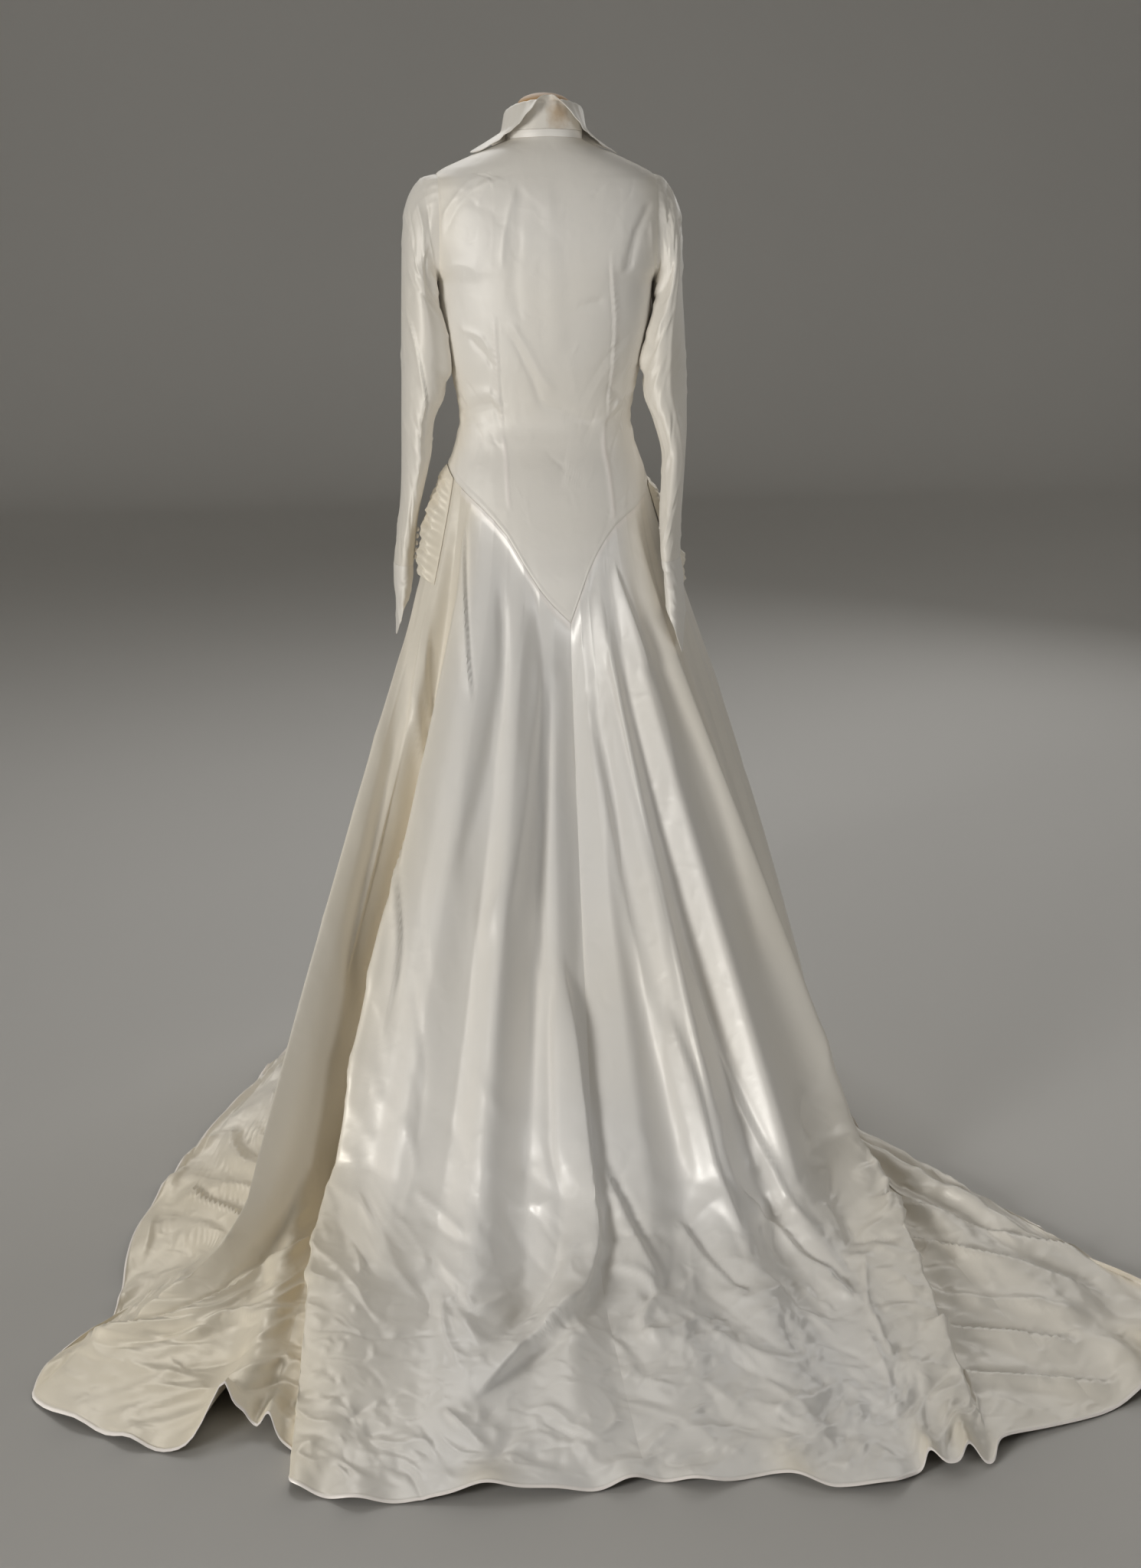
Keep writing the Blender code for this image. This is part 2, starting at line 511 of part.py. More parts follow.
def material(name):
    """The named material, made once."""
    found = bpy.data.materials.get(name)
    if found:
        return found
    colour, roughness, metallic = MATERIALS[name]
    made = bpy.data.materials.new(name)
    made.use_nodes = True
    shader = made.node_tree.nodes["Principled BSDF"]
    shader.inputs["Base Color"].default_value = (*colour, 1.0)
    shader.inputs["Roughness"].default_value = roughness
    shader.inputs["Metallic"].default_value = metallic
    return made


def add_mesh(name, bm, finish):
    """A named object from a bmesh, in the part's collection."""
    mesh = bpy.data.meshes.new(name)
    bm.to_mesh(mesh)
    bm.free()
    mesh.shade_smooth()
    thing = bpy.data.objects.new(name, mesh)
    mesh.materials.append(material(finish))
    bpy.data.collections["wedding_dress"].objects.link(thing)
    return thing


def add_sheet(name, grid, wall, closed=False, finish="satin", mirrored=False):
    """An open surface through a grid of points, rows by columns, with a wall on its inner side."""
    rows, columns = grid.shape[:2]
    bm = bmesh.new()
    points = [[bm.verts.new(grid[r, c]) for c in range(columns)] for r in range(rows)]
    spans = columns if closed else columns - 1
    for r in range(rows - 1):
        for c in range(spans):
            d = (c + 1) % columns
            corner = (points[r][c], points[r][d], points[r + 1][d], points[r + 1][c])
            bm.faces.new(corner if mirrored else corner[::-1])
    thing = add_mesh(name, bm, finish)
    thicken = thing.modifiers.new("wall", "SOLIDIFY")
    thicken.thickness = wall
    thicken.offset = -1.0
    thicken.use_quality_normals = True
    return thing


def part_edges(grid, gap):
    """The grid with its two side edges drawn in by a gap."""
    grid = grid.copy()
    for edge, inner in ((0, 1), (-1, -2)):
        way = grid[:, inner] - grid[:, edge]
        way = way / np.linalg.norm(way, axis=-1, keepdims=True)
        grid[:, edge] = grid[:, edge] + way * np.reshape(gap, (-1, 1))
    return grid


def seam_lines(lines):
    """The angles of the lines on the basque seam, with a narrow strip added at each end."""
    angles = fold_value("top", np.array(lines, float))
    return np.array([angles[0], angles[0] + SEAM_STRIP, *angles[1:-1], angles[-1] - SEAM_STRIP,
                     angles[-1]])


def make_bodice():
    """The back, with its pointed basque, and the two fronts."""
    up = np.array([0, .08, .16, .24, .32, .40, .49, UNDERARM_UP, .67, .76, .84, SHOULDER_UP, .93, .965,
                   .985, 1.0])
    gap = np.where(np.abs(up - SHOULDER_UP) < 0.03, SHOULDER_GAP, SEAM / 2)
    for name, lines, front in (("bodice_back", BACK_LINES, False),
                               ("bodice_front_left", LEFT_LINES, True),
                               ("bodice_front_right", RIGHT_LINES, True)):
        u, a = np.meshgrid(up, seam_lines(lines), indexing="ij")
        add_sheet(name, part_edges(bodice_point(a, u, front), gap), BODICE_WALL)


def make_collar():
    """The band round the neck and the leaf that stands and rolls over."""
    lines = RIGHT_LINES[1:] + BACK_LINES[1:] + LEFT_LINES[1:-1]
    angles = fold_value("top", np.array(lines, float))
    rise, a = np.meshgrid(np.array([2 * SEAM, STAND_HEIGHT]), angles, indexing="ij")
    grid = neck_point(a) + np.stack([0 * rise, 0 * rise, rise], axis=-1)
    add_sheet("collar_stand", grid, COLLAR_WALL)
    along, a = np.meshgrid(np.array([0, .20, .36, .44, .52, .64, .74, .82, 1.0]), angles, indexing="ij")
    add_sheet("collar_leaf", collar_point(a, along), COLLAR_WALL)


def make_sleeve(name, table, side):
    """A long set-in sleeve."""
    phi = np.linspace(0, 2 * np.pi, 14, endpoint=False)
    ring = np.array([0, .4, 1, 2, 3, 4, 5, 6, 7, 8, 9, 10, 11, 12])
    r, p = np.meshgrid(ring, phi, indexing="ij")
    add_sheet(name, sleeve_point(table, side, p, r), BODICE_WALL, closed=True, mirrored=side < 0)


def make_cuff(name, table, sleeve, side):
    """A pointed cuff under the sleeve."""
    phi = np.linspace(0, 2 * np.pi, 14, endpoint=False)
    down, p = np.meshgrid(np.array([0, .25, .5, .75, 1.0]), phi, indexing="ij")
    top_z = sleeve[-1][SLEEVE_COLUMNS.index("out_z")]
    grid = cuff_point(table, side, top_z, p, down)
    add_sheet(name, grid, BODICE_WALL, closed=True, mirrored=side < 0)


def make_skirt():
    """The five gores, from the basque seam to the hem on the floor."""
    upper = np.linspace(0, UPPER_SHARE, 9)[:-1]
    bend = np.linspace(UPPER_SHARE, UPPER_SHARE + BEND_SHARE, 4)[:-1]
    floor = np.linspace(UPPER_SHARE + BEND_SHARE, 1, 6)
    down = np.concatenate([upper, bend, floor])
    for name, first, last in GORES:
        lines = np.arange(first, last + 0.5, 0.5)
        lines = np.array([first, first + GORE_STRIP, *lines[1:-1], last - GORE_STRIP, last])
        if name == "skirt_front":
            lines = np.array(FRONT_GORE_LINES)
        d, line = np.meshgrid(down[::-1], lines, indexing="ij")
        grid = part_edges(skirt_point(line, d), SEAM / 2)
        add_sheet(name, grid, SKIRT_WALL)


def make_drapes():
    """The gathered panels over the hips."""
    for name, first, last in DRAPES:
        across = np.linspace(0, 1, round(2 * (last - first)) + 1)
        down, a = np.meshgrid(np.linspace(1, 0, 16), across, indexing="ij")
        add_sheet(name, drape_point(first, last, a, down), COLLAR_WALL)


def seat_on(name, place, out):
    """The point of a finished piece under a place, and the way its cloth faces there."""
    reach = 0.02
    graph = bpy.context.evaluated_depsgraph_get()
    piece = bpy.data.objects[name].evaluated_get(graph)
    _, point, normal, _ = piece.ray_cast(place + out * reach, -out)
    return point, normal


def add_button(name, cloth, place, out, radius):
    """A small covered button that rests on the cloth."""
    bm = bmesh.new()
    bmesh.ops.create_uvsphere(bm, u_segments=7, v_segments=4, radius=radius)
    bmesh.ops.scale(bm, vec=(1, 1, BUTTON_FLATNESS), verts=bm.verts)
    point, normal = seat_on(cloth, Vector(place), Vector(out).normalized())
    turn = normal.to_track_quat("Z", "Y").to_matrix().to_4x4()
    seat = point + normal * (BUTTON_FLATNESS * radius + 2 * SEAM)
    bmesh.ops.transform(bm, matrix=Matrix.Translation(seat) @ turn, verts=bm.verts)
    return add_mesh(name, bm, "covered button")


def make_buttons():
    """A row down the front edge and a short row at each wrist."""
    for i in range(FRONT_BUTTONS):
        z = FRONT_BUTTON_TOP - i * FRONT_BUTTON_STEP
        place = body(np.array(180.0), np.array(z)) + np.array([FRONT_BUTTON_SIDE, 0, 0])
        add_button(f"front_button_{i + 1}", "bodice_front_left", place, (0, -1, 0), FRONT_BUTTON)
    for label, table, side, turn in (("left", SLEEVE_LEFT, 1, CUFF_BUTTON_TURN_LEFT),
                                     ("right", SLEEVE_RIGHT, -1, CUFF_BUTTON_TURN_RIGHT)):
        for i in range(CUFF_BUTTONS):
            ring = np.array(CUFF_BUTTON_RING + CUFF_BUTTON_STEP * i)
            phi = np.array(math.radians(turn))
            place = sleeve_point(table, side, phi, ring)
            ahead = sleeve_point(table, side, phi + 0.02, ring)
            lower = sleeve_point(table, side, phi, ring + 0.02)
            out = np.cross(lower - place, ahead - place) * side
            out = out / np.linalg.norm(out)
            name = f"cuff_button_{label}_{i + 1}"
            add_button(name, f"sleeve_{label}", place, out, WRIST_BUTTON)


def make_form():
    """The padded torso, its neck cap, the pole and the base."""
    heights = np.array([0.700, 0.745, 0.80, 0.86, 0.92, 0.98, 1.03, 1.08, 1.13, 1.18, 1.23, 1.27,
                        1.31, 1.35, 1.38, 1.395, 1.410, 1.425, 1.440])
    inset = np.interp(heights, FORM_HEIGHTS, FORM_INSETS)
    angles = np.linspace(-180, 180, 24, endpoint=False)
    rings = []
    for z, cut in zip(heights, inset):
        ring = body(angles, np.full(angles.shape, z))
        radius = np.linalg.norm(ring[:, :2], axis=1, keepdims=True)
        ring[:, :2] *= (radius - cut) / radius
        ring[:, 0] = np.clip(ring[:, 0], -FORM_SIDE, FORM_SIDE)
        rings.append(ring)
    for z, scale in ((1.452, 1.12), (1.466, 1.04), (1.484, 1.0)):
        turn = np.radians(angles)
        rings.append(np.stack([FORM_NECK * scale * np.sin(turn), FORM_NECK * scale * np.cos(turn),
                               np.full(angles.shape, z)], axis=-1))
    bm = bmesh.new()
    points = [[bm.verts.new(p) for p in ring] for ring in rings]
    count = len(angles)
    for low, high in zip(points[:-1], points[1:]):
        for c in range(count):
            d = (c + 1) % count
            bm.faces.new((low[d], low[c], high[c], high[d]))
    bm.faces.new(points[0])
    bm.faces.new(points[-1][::-1])
    add_mesh("form_torso", bm, "form cloth")
    add_turned("form_cap", [(0, CAP_TOP), (0.014, CAP_TOP - 0.001), (0.028, CAP_TOP - 0.005),
                            (0.037, CAP_TOP - 0.011), (0.0395, CAP_TOP - 0.018),
                            (0.0390, CAP_BOTTOM), (0, CAP_BOTTOM)], "form cloth")
    add_turned("form_pole", [(0, 0.6997), (POLE_RADIUS, 0.6997), (POLE_RADIUS, BASE_THICK + SEAM),
                             (0, BASE_THICK + SEAM)], "painted steel")
    add_turned("form_base", [(0, BASE_THICK), (BASE_RADIUS - 0.004, BASE_THICK),
                             (BASE_RADIUS, BASE_THICK - 0.004), (BASE_RADIUS, 0), (0, 0)],
               "lacquered wood")


def add_turned(name, profile, finish):
    """A turned solid from a profile of radius and height, top to bottom."""
    bm = bmesh.new()
    points = [bm.verts.new((r, 0, z)) for r, z in profile]
    for a, b in zip(points[:-1], points[1:]):
        bm.edges.new((a, b))
    thing = add_mesh(name, bm, finish)
    turn = thing.modifiers.new("turn", "SCREW")
    turn.steps = 24
    turn.render_steps = 24
    turn.use_merge_vertices = True
    turn.merge_threshold = 0.0001
    return thing


def main():
    for thing in list(bpy.data.objects):
        bpy.data.objects.remove(thing, do_unlink=True)
    collection = bpy.data.collections.new("wedding_dress")
    bpy.context.scene.collection.children.link(collection)
    make_form()
    make_bodice()
    make_collar()
    make_sleeve("sleeve_left", SLEEVE_LEFT, 1)
    make_sleeve("sleeve_right", SLEEVE_RIGHT, -1)
    make_cuff("cuff_left", CUFF_LEFT, SLEEVE_LEFT, 1)
    make_cuff("cuff_right", CUFF_RIGHT, SLEEVE_RIGHT, -1)
    make_skirt()
    make_drapes()
    make_buttons()


main()
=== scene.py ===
"""Looks of a long-sleeved satin wedding dress with a train, on a limbless dress form."""
import math

import bpy
import numpy as np
from mathutils import Matrix, Vector


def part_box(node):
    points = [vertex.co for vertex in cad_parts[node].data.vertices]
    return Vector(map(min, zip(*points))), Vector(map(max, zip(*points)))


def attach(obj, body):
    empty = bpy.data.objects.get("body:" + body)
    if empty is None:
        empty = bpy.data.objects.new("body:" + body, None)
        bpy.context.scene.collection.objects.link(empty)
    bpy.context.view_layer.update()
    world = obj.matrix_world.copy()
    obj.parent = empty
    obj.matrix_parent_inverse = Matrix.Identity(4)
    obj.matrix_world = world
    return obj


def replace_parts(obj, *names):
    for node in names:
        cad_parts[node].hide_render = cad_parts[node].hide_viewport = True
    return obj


bl_info = {
    "name": "Satin wedding dress",
    "version": (1, 0, 0),
    "blender": (4, 5, 0),
    "location": "View3D > Sidebar > Dress",
    "description": "Cuts, drapes and finishes a satin wedding dress with a train on its form",
    "category": "Object",
}

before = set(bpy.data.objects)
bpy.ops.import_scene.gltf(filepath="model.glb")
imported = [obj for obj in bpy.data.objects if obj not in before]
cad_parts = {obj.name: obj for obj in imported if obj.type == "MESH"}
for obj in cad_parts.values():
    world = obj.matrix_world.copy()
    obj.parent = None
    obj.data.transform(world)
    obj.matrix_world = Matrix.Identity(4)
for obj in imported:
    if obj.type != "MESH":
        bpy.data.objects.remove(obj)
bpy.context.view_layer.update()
BODY_NAME = "root"

# Sizes shared with the solids
SEAM = 0.0003
CROSS_POWER = 2.3
ARMHOLE_X = 0.163
UNDERARM_Z = 1.2365
SHOULDER_Z = 1.3915
UNDERARM_UP = 0.58
SHOULDER_UP = 0.90
V_ANGLE = -4.0
STAND_HEIGHT = 0.0105
CLOSE_IN = 0.035
EDGE_POWER = 30

# Cross sections of the bodice: height, half width, depth behind and before the side seams
BODY_COLUMNS = ("z", "half", "back", "front")
BODY = (
    (0.700, 0.158, 0.166, 0.100),
    (0.744, 0.166, 0.170, 0.104),
    (0.800, 0.171, 0.166, 0.108),
    (0.850, 0.171, 0.152, 0.108),
    (0.900, 0.166, 0.134, 0.104),
    (0.955, 0.154, 0.112, 0.096),
    (1.000, 0.138, 0.090, 0.086),
    (1.032, 0.132, 0.082, 0.082),
    (1.065, 0.136, 0.086, 0.087),
    (1.129, 0.150, 0.099, 0.108),
    (1.191, 0.161, 0.107, 0.124),
    (1.2365, 0.1635, 0.110, 0.128),
    (1.260, 0.175, 0.111, 0.124),
    (1.300, 0.185, 0.110, 0.112),
    (1.340, 0.187, 0.106, 0.096),
    (1.370, 0.183, 0.100, 0.080),
    (1.385, 0.175, 0.095, 0.072),
    (1.392, 0.163, 0.0922, 0.068),
    (1.400, 0.150, 0.0886, 0.066),
    (1.410, 0.127, 0.0834, 0.063),
    (1.420, 0.104, 0.077, 0.060),
    (1.430, 0.080, 0.069, 0.057),
    (1.440, 0.0565, 0.061, 0.055),
    (1.445, 0.0530, 0.058, 0.054),
)

# Neckline: angle from the centre back and height
NECKLINE = ((0, 1.444), (90, 1.440), (118, 1.4375), (142, 1.430), (160, 1.415), (180, 1.392))

# Basque seam on each side of its point at the back: angle and height
SEAM_LEFT = ((-4, 0.744), (4, 0.778), (12, 0.815), (20, 0.860), (30, 0.892), (45, 0.920),
             (60, 0.938), (90, 0.962), (120, 0.955), (150, 0.925), (180, 0.885))
SEAM_RIGHT = ((-180, 0.885), (-150, 0.912), (-120, 0.932), (-90, 0.940), (-60, 0.918),
              (-45, 0.903), (-30, 0.884), (-20, 0.856), (-12, 0.816), (-4, 0.744))

# Sleeve rings, down from the armhole
SLEEVE_COLUMNS = ("out_x", "out_z", "in_x", "in_z", "depth", "y", "swing")
SLEEVE_LEFT = (
    (0.165, 1.3915, 0.165, 1.2365, 0.060, 0.000, 0.000),
    (0.184, 1.385, 0.167, 1.226, 0.060, 0.000, 0.000),
    (0.199, 1.368, 0.170, 1.214, 0.062, 0.000, 0.000),
    (0.209, 1.342, 0.171, 1.200, 0.063, 0.000, 0.000),
    (0.2140, 1.300, 0.1655, 1.182, 0.065, 0.000, 0.000),
    (0.2165, 1.238, 0.1568, 1.154, 0.067, 0.000, 0.000),
    (0.2185, 1.165, 0.1515, 1.115, 0.067, -0.002, 0.000),
    (0.2200, 1.090, 0.1555, 1.070, 0.064, -0.004, 0.000),
    (0.2215, 1.030, 0.172, 1.028, 0.060, -0.006, 0.000),
    (0.2225, 0.980, 0.177, 0.980, 0.056, -0.008, 0.000),
    (0.2245, 0.930, 0.189, 0.930, 0.050, -0.008, 0.000),
    (0.2300, 0.875, 0.201, 0.875, 0.044, -0.006, 0.000),
    (0.2390, 0.812, 0.208, 0.812, 0.040, -0.005, 0.000),
)
SLEEVE_RIGHT = (
    (0.165, 1.3915, 0.165, 1.2365, 0.060, 0.000, 0.000),
    (0.180, 1.385, 0.167, 1.226, 0.060, 0.000, 0.000),
    (0.194, 1.366, 0.169, 1.214, 0.062, 0.000, 0.000),
    (0.204, 1.338, 0.169, 1.200, 0.063, 0.000, 0.000),
    (0.2080, 1.296, 0.165, 1.180, 0.065, 0.002, 0.002),
    (0.2105, 1.232, 0.1555, 1.150, 0.067, 0.006, 0.008),
    (0.2145, 1.160, 0.1510, 1.110, 0.067, 0.012, 0.016),
    (0.2160, 1.090, 0.152, 1.070, 0.064, 0.022, 0.020),
    (0.2155, 1.030, 0.163, 1.030, 0.060, 0.036, 0.013),
    (0.2100, 0.980, 0.173, 0.980, 0.055, 0.056, 0.008),
    (0.2020, 0.930, 0.167, 0.930, 0.048, 0.084, 0.008),
    (0.1935, 0.880, 0.160, 0.880, 0.041, 0.114, 0.010),
    (0.1880, 0.835, 0.160, 0.835, 0.034, 0.138, 0.012),
)
SLEEVE_RINGS = len(SLEEVE_LEFT) - 1

# Cuff rings under the sleeve's last ring
CUFF_COLUMNS = ("fall", "out_x", "in_x", "depth", "y", "swing")
CUFF_LEFT = (
    (0.000, 0.2395, 0.2080, 0.040, -0.005, 0.000),
    (0.030, 0.2400, 0.2110, 0.039, -0.004, 0.000),
    (0.060, 0.2375, 0.2190, 0.037, -0.003, 0.000),
    (0.114, 0.2390, 0.2270, 0.034, -0.002, 0.000),
)
CUFF_RIGHT = (
    (0.000, 0.1880, 0.1600, 0.034, 0.138, 0.012),
    (0.030, 0.1900, 0.1620, 0.033, 0.153, 0.012),
    (0.060, 0.1900, 0.1620, 0.031, 0.168, 0.011),
    (0.135, 0.1850, 0.1660, 0.027, 0.188, 0.008),
)
SLEEVE_REACH = 0.0024
CUFF_SHORT = 0.50
CUFF_GAP = 0.0001

# Collar leaf round the neck
COLLAR_COLUMNS = ("angle", "stand", "roll", "leaf", "flare")
COLLAR = (
    (-168, 0.0060, 130, 0.014, 0),
    (-150, 0.0120, 155, 0.030, 40),
    (-128, 0.0185, 168, 0.046, 52),
    (-108, 0.0240, 170, 0.064, 50),
    (-90, 0.0270, 170, 0.084, 48),
    (-72, 0.0300, 168, 0.058, 38),
    (-54, 0.0325, 160, 0.044, 20),
    (-36, 0.0350, 145, 0.036, 0),
    (-20, 0.0362, 128, 0.023, 0),
    (-8, 0.0360, 72, 0.012, 0),
    (0, 0.0355, 12, 0.010, 0),
    (8, 0.0360, 64, 0.012, 0),
    (20, 0.0362, 122, 0.022, 0),
    (36, 0.0350, 143, 0.035, 0),
    (54, 0.0325, 160, 0.043, 20),
    (72, 0.0300, 168, 0.057, 38),
    (90, 0.0270, 170, 0.084, 48),
    (108, 0.0240, 170, 0.064, 50),
    (128, 0.0185, 168, 0.046, 52),
    (150, 0.0120, 155, 0.030, 40),
    (168, 0.0060, 130, 0.014, 0),
)
COLLAR_ROLL_RADIUS = 0.0035
COLLAR_BEND_RADIUS = 0.012
COLLAR_DROP = -0.0035
COLLAR_LEAN = -14.0
COLLAR_GAP = 0.0005
COLLAR_SHORTEST_DROP = 0.002
COLLAR_END = 163.0

# Lines of the skirt, round from the centre front by the wearer's right
FOLD_COLUMNS = ("top", "foot_x", "foot_y", "hem_x", "hem_y", "hip", "puff", "lift", "hem_lift")
FOLDS = (
    (-180, 0.000, -0.335, 0.000, -0.385, 0.000, 0.000, 0.000, 0.000),
    (-160, -0.145, -0.300, -0.160, -0.350, 0.000, 0.010, 0.000, 0.000),
    (-140, -0.265, -0.210, -0.300, -0.250, 0.004, -0.006, 0.000, 0.000),
    (-125, -0.345, -0.080, -0.390, -0.100, 0.010, 0.012, 0.000, 0.000),
    (-112, -0.370, 0.080, -0.420, 0.095, 0.016, -0.002, 0.000, 0.000),
    (-104, -0.368, 0.210, -0.420, 0.270, 0.026, 0.018, 0.004, 0.000),
    (-97, -0.370, 0.310, -0.420, 0.430, 0.026, 0.018, 0.006, 0.000),
    (-90, -0.372, 0.400, -0.480, 0.600, 0.024, 0.024, 0.012, 0.000),
    (-84, -0.380, 0.455, -0.575, 0.745, 0.020, 0.026, 0.026, 0.000),
    (-78, -0.380, 0.490, -0.650, 0.910, 0.016, 0.018, 0.008, 0.000),
    (-72, -0.384, 0.520, -0.700, 0.985, 0.010, 0.022, 0.026, 0.000),
    (-66, -0.384, 0.545, -0.665, 1.055, 0.006, 0.010, 0.008, 0.000),
    (-60, -0.384, 0.565, -0.600, 1.115, 0.003, 0.010, 0.022, 0.000),
    (-55, -0.378, 0.578, -0.510, 1.165, 0.000, -0.004, 0.004, 0.000),
    (-51, -0.352, 0.590, -0.370, 1.205, 0.000, -0.004, 0.014, 0.000),
    (-46, -0.398, 0.642, -0.345, 1.238, 0.002, 0.022, 0.040, 0.000),
    (-38, -0.322, 0.690, -0.300, 1.242, 0.000, 0.006, 0.030, 0.000),
    (-30, -0.270, 0.765, -0.262, 1.243, 0.000, 0.009, 0.020, 0.000),
    (-23, -0.215, 0.730, -0.222, 1.262, 0.000, -0.008, 0.006, 0.000),
    (-17, -0.165, 0.800, -0.160, 1.256, 0.000, 0.011, 0.018, 0.000),
    (-12, -0.100, 0.770, -0.090, 1.222, 0.000, -0.004, 0.006, 0.000),
    (-8, -0.040, 0.810, -0.030, 1.230, 0.000, 0.003, 0.010, 0.000),
    (-4, 0.036, 0.815, 0.045, 1.214, 0.000, -0.002, 0.004, 0.000),
    (2, 0.085, 0.805, 0.110, 1.222, 0.000, 0.008, 0.020, 0.000),
    (8, 0.130, 0.755, 0.180, 1.218, 0.000, -0.006, 0.004, 0.000),
    (15, 0.200, 0.795, 0.255, 1.213, 0.000, 0.011, 0.016, 0.000),
    (23, 0.250, 0.720, 0.315, 1.212, 0.000, -0.006, 0.006, 0.000),
    (31, 0.312, 0.715, 0.365, 1.208, 0.000, 0.006, 0.018, 0.000),
    (39, 0.350, 0.665, 0.395, 1.195, 0.000, 0.006, 0.032, 0.000),
    (47, 0.400, 0.640, 0.440, 1.165, 0.002, 0.012, 0.042, 0.000),
    (53, 0.355, 0.555, 0.430, 1.120, -0.002, -0.010, 0.015, 0.000),
    (59, 0.378, 0.515, 0.470, 1.075, -0.002, -0.016, 0.004, 0.000),
    (66, 0.425, 0.595, 0.500, 1.052, 0.000, 0.000, 0.016, 0.020),
    (73, 0.450, 0.630, 0.565, 1.088, 0.002, -0.004, 0.006, 0.000),
    (79, 0.485, 0.690, 0.650, 1.045, 0.002, 0.004, 0.020, 0.000),
    (86, 0.525, 0.738, 0.745, 0.950, 0.004, 0.007, 0.038, 0.000),
    (90, 0.458, 0.610, 0.728, 0.890, 0.003, -0.006, 0.012, 0.000),
    (97, 0.415, 0.470, 0.658, 0.780, 0.001, -0.006, 0.006, 0.000),
    (102, 0.400, 0.380, 0.652, 0.625, 0.001, -0.002, 0.010, 0.000),
    (108, 0.390, 0.280, 0.605, 0.430, 0.000, -0.006, 0.004, 0.000),
    (115, 0.385, 0.170, 0.535, 0.250, 0.000, 0.000, 0.006, 0.000),
    (124, 0.375, 0.030, 0.452, 0.060, 0.000, -0.004, 0.002, 0.000),
    (136, 0.325, -0.130, 0.368, -0.140, 0.000, 0.008, 0.000, 0.000),
    (150, 0.225, -0.255, 0.255, -0.295, 0.000, -0.006, 0.000, 0.000),
    (165, 0.115, -0.320, 0.125, -0.368, 0.000, 0.010, 0.000, 0.000),
)
# Gores: the first and last line of the skirt that each one spans
GORES = (
    ("skirt_side_right", 4, 13),
    ("skirt_back_right", 13, 22),
    ("skirt_back_left", 22, 31),
    ("skirt_side_left", 31, 41),
    ("skirt_front", 41, 49),
)
CENTRE_BACK_LINE = 22
SKIRT_DROP = 0.17
SKIRT_FLARE = 0.10
KNEE_HEIGHT = 0.085
FLOOR_REST = 0.0022
UPPER_SHARE = 0.56
BEND_SHARE = 0.16

# Hip drapes: the skirt lines each one spans, gathers and their height
DRAPES = (("hip_drape_left", 32.5, 38.5, "skirt_side_left"),
          ("hip_drape_right", 5.5, 9.5, "skirt_side_right"))
DRAPE_LENGTH = 0.125
DRAPE_LIFT = 0.0058
DRAPE_GATHERS = 4.5
DRAPE_SEAT = 0.0016
DRAPE_PUFF = 0.010

# Lines of the skirt that the bodice's panels meet on the basque seam
BACK_SPAN = (7, 36)
LEFT_SPAN = (36, 45)
RIGHT_SPAN = (0, 7)
SEAM_LINES = (0, 0.75, 1.5, 2.25, 3, 3.5, 4.5, 5.5, 7, 9, 11, 12, 14, 15, 16, 17, 18, 19, 20, 21, 22, 23,
              24, 25, 26, 27, 28, 29, 30, 32, 34, 36, 37, 39, 40.5, 41.5, 42.5, 43.5, 44.25, 45)


def srgb(code):
    """Linear red, green and blue of a hex colour."""
    parts = [int(code[i:i + 2], 16) / 255 for i in (1, 3, 5)]
    return tuple(p / 12.92 if p <= 0.04045 else ((p + 0.055) / 1.055) ** 2.4 for p in parts)


class DressSizes(bpy.types.PropertyGroup):
    """Sizes of the cloth that a user would change."""
    cloth: bpy.props.FloatProperty(
        name="Cloth", description="Thickness of the satin as drawn", default=0.0007, unit="LENGTH")
    hem_roll: bpy.props.FloatProperty(
        name="Hem roll", description="Radius of the narrow rolled hem", default=0.0016, unit="LENGTH")
    seam_sink: bpy.props.FloatProperty(
        name="Seam sink", description="How far the cloth dips at a seam", default=0.0004, unit="LENGTH")
    crease: bpy.props.FloatProperty(
        name="Creases", description="Depth of all creases against the photographed ones", default=1.0)
    crumple: bpy.props.FloatProperty(
        name="Crumples", description="Depth of the train's crumples against the photographed ones",
        default=1.0)
    seed: bpy.props.IntProperty(
        name="Seed", description="Starts the draws that place the small crumples", default=7)


class DressColours(bpy.types.PropertyGroup):
    """Colours of the finishes."""
    satin_cool: bpy.props.FloatVectorProperty(
        name="Satin", description="Ivory satin where it has kept its colour", subtype="COLOR",
        default=srgb("#E8E6E3"))
    # Yellowed satin, also used as painted shade where the left of the skirt's back gore turns away from the light
    satin_yellowed_and_shaded: bpy.props.FloatVectorProperty(
        name="Yellowed satin", description="Satin that has turned creamy with age", subtype="COLOR",
        default=srgb("#E7DDC8"))
    hem_edge: bpy.props.FloatVectorProperty(
        name="Hem edge", description="The hem's thin pinkish white edge", subtype="COLOR",
        default=srgb("#F4EDE6"))
    stain: bpy.props.FloatVectorProperty(
        name="Stain", description="The light brown mark on the collar", subtype="COLOR",
        default=srgb("#B79C78"))
    form_cloth: bpy.props.FloatVectorProperty(
        name="Form cloth", description="Golden brown cloth on the form", subtype="COLOR",
        default=srgb("#B4863F"))
    wood: bpy.props.FloatVectorProperty(
        name="Wood", description="Lacquered base", subtype="COLOR", default=srgb("#5A3A22"))
    steel: bpy.props.FloatVectorProperty(
        name="Steel", description="Painted pole", subtype="COLOR", default=srgb("#26272A"))
    paper: bpy.props.FloatVectorProperty(
        name="Studio paper", description="Pale floor and backdrop", subtype="COLOR",
        default=srgb("#D6D4D0"))


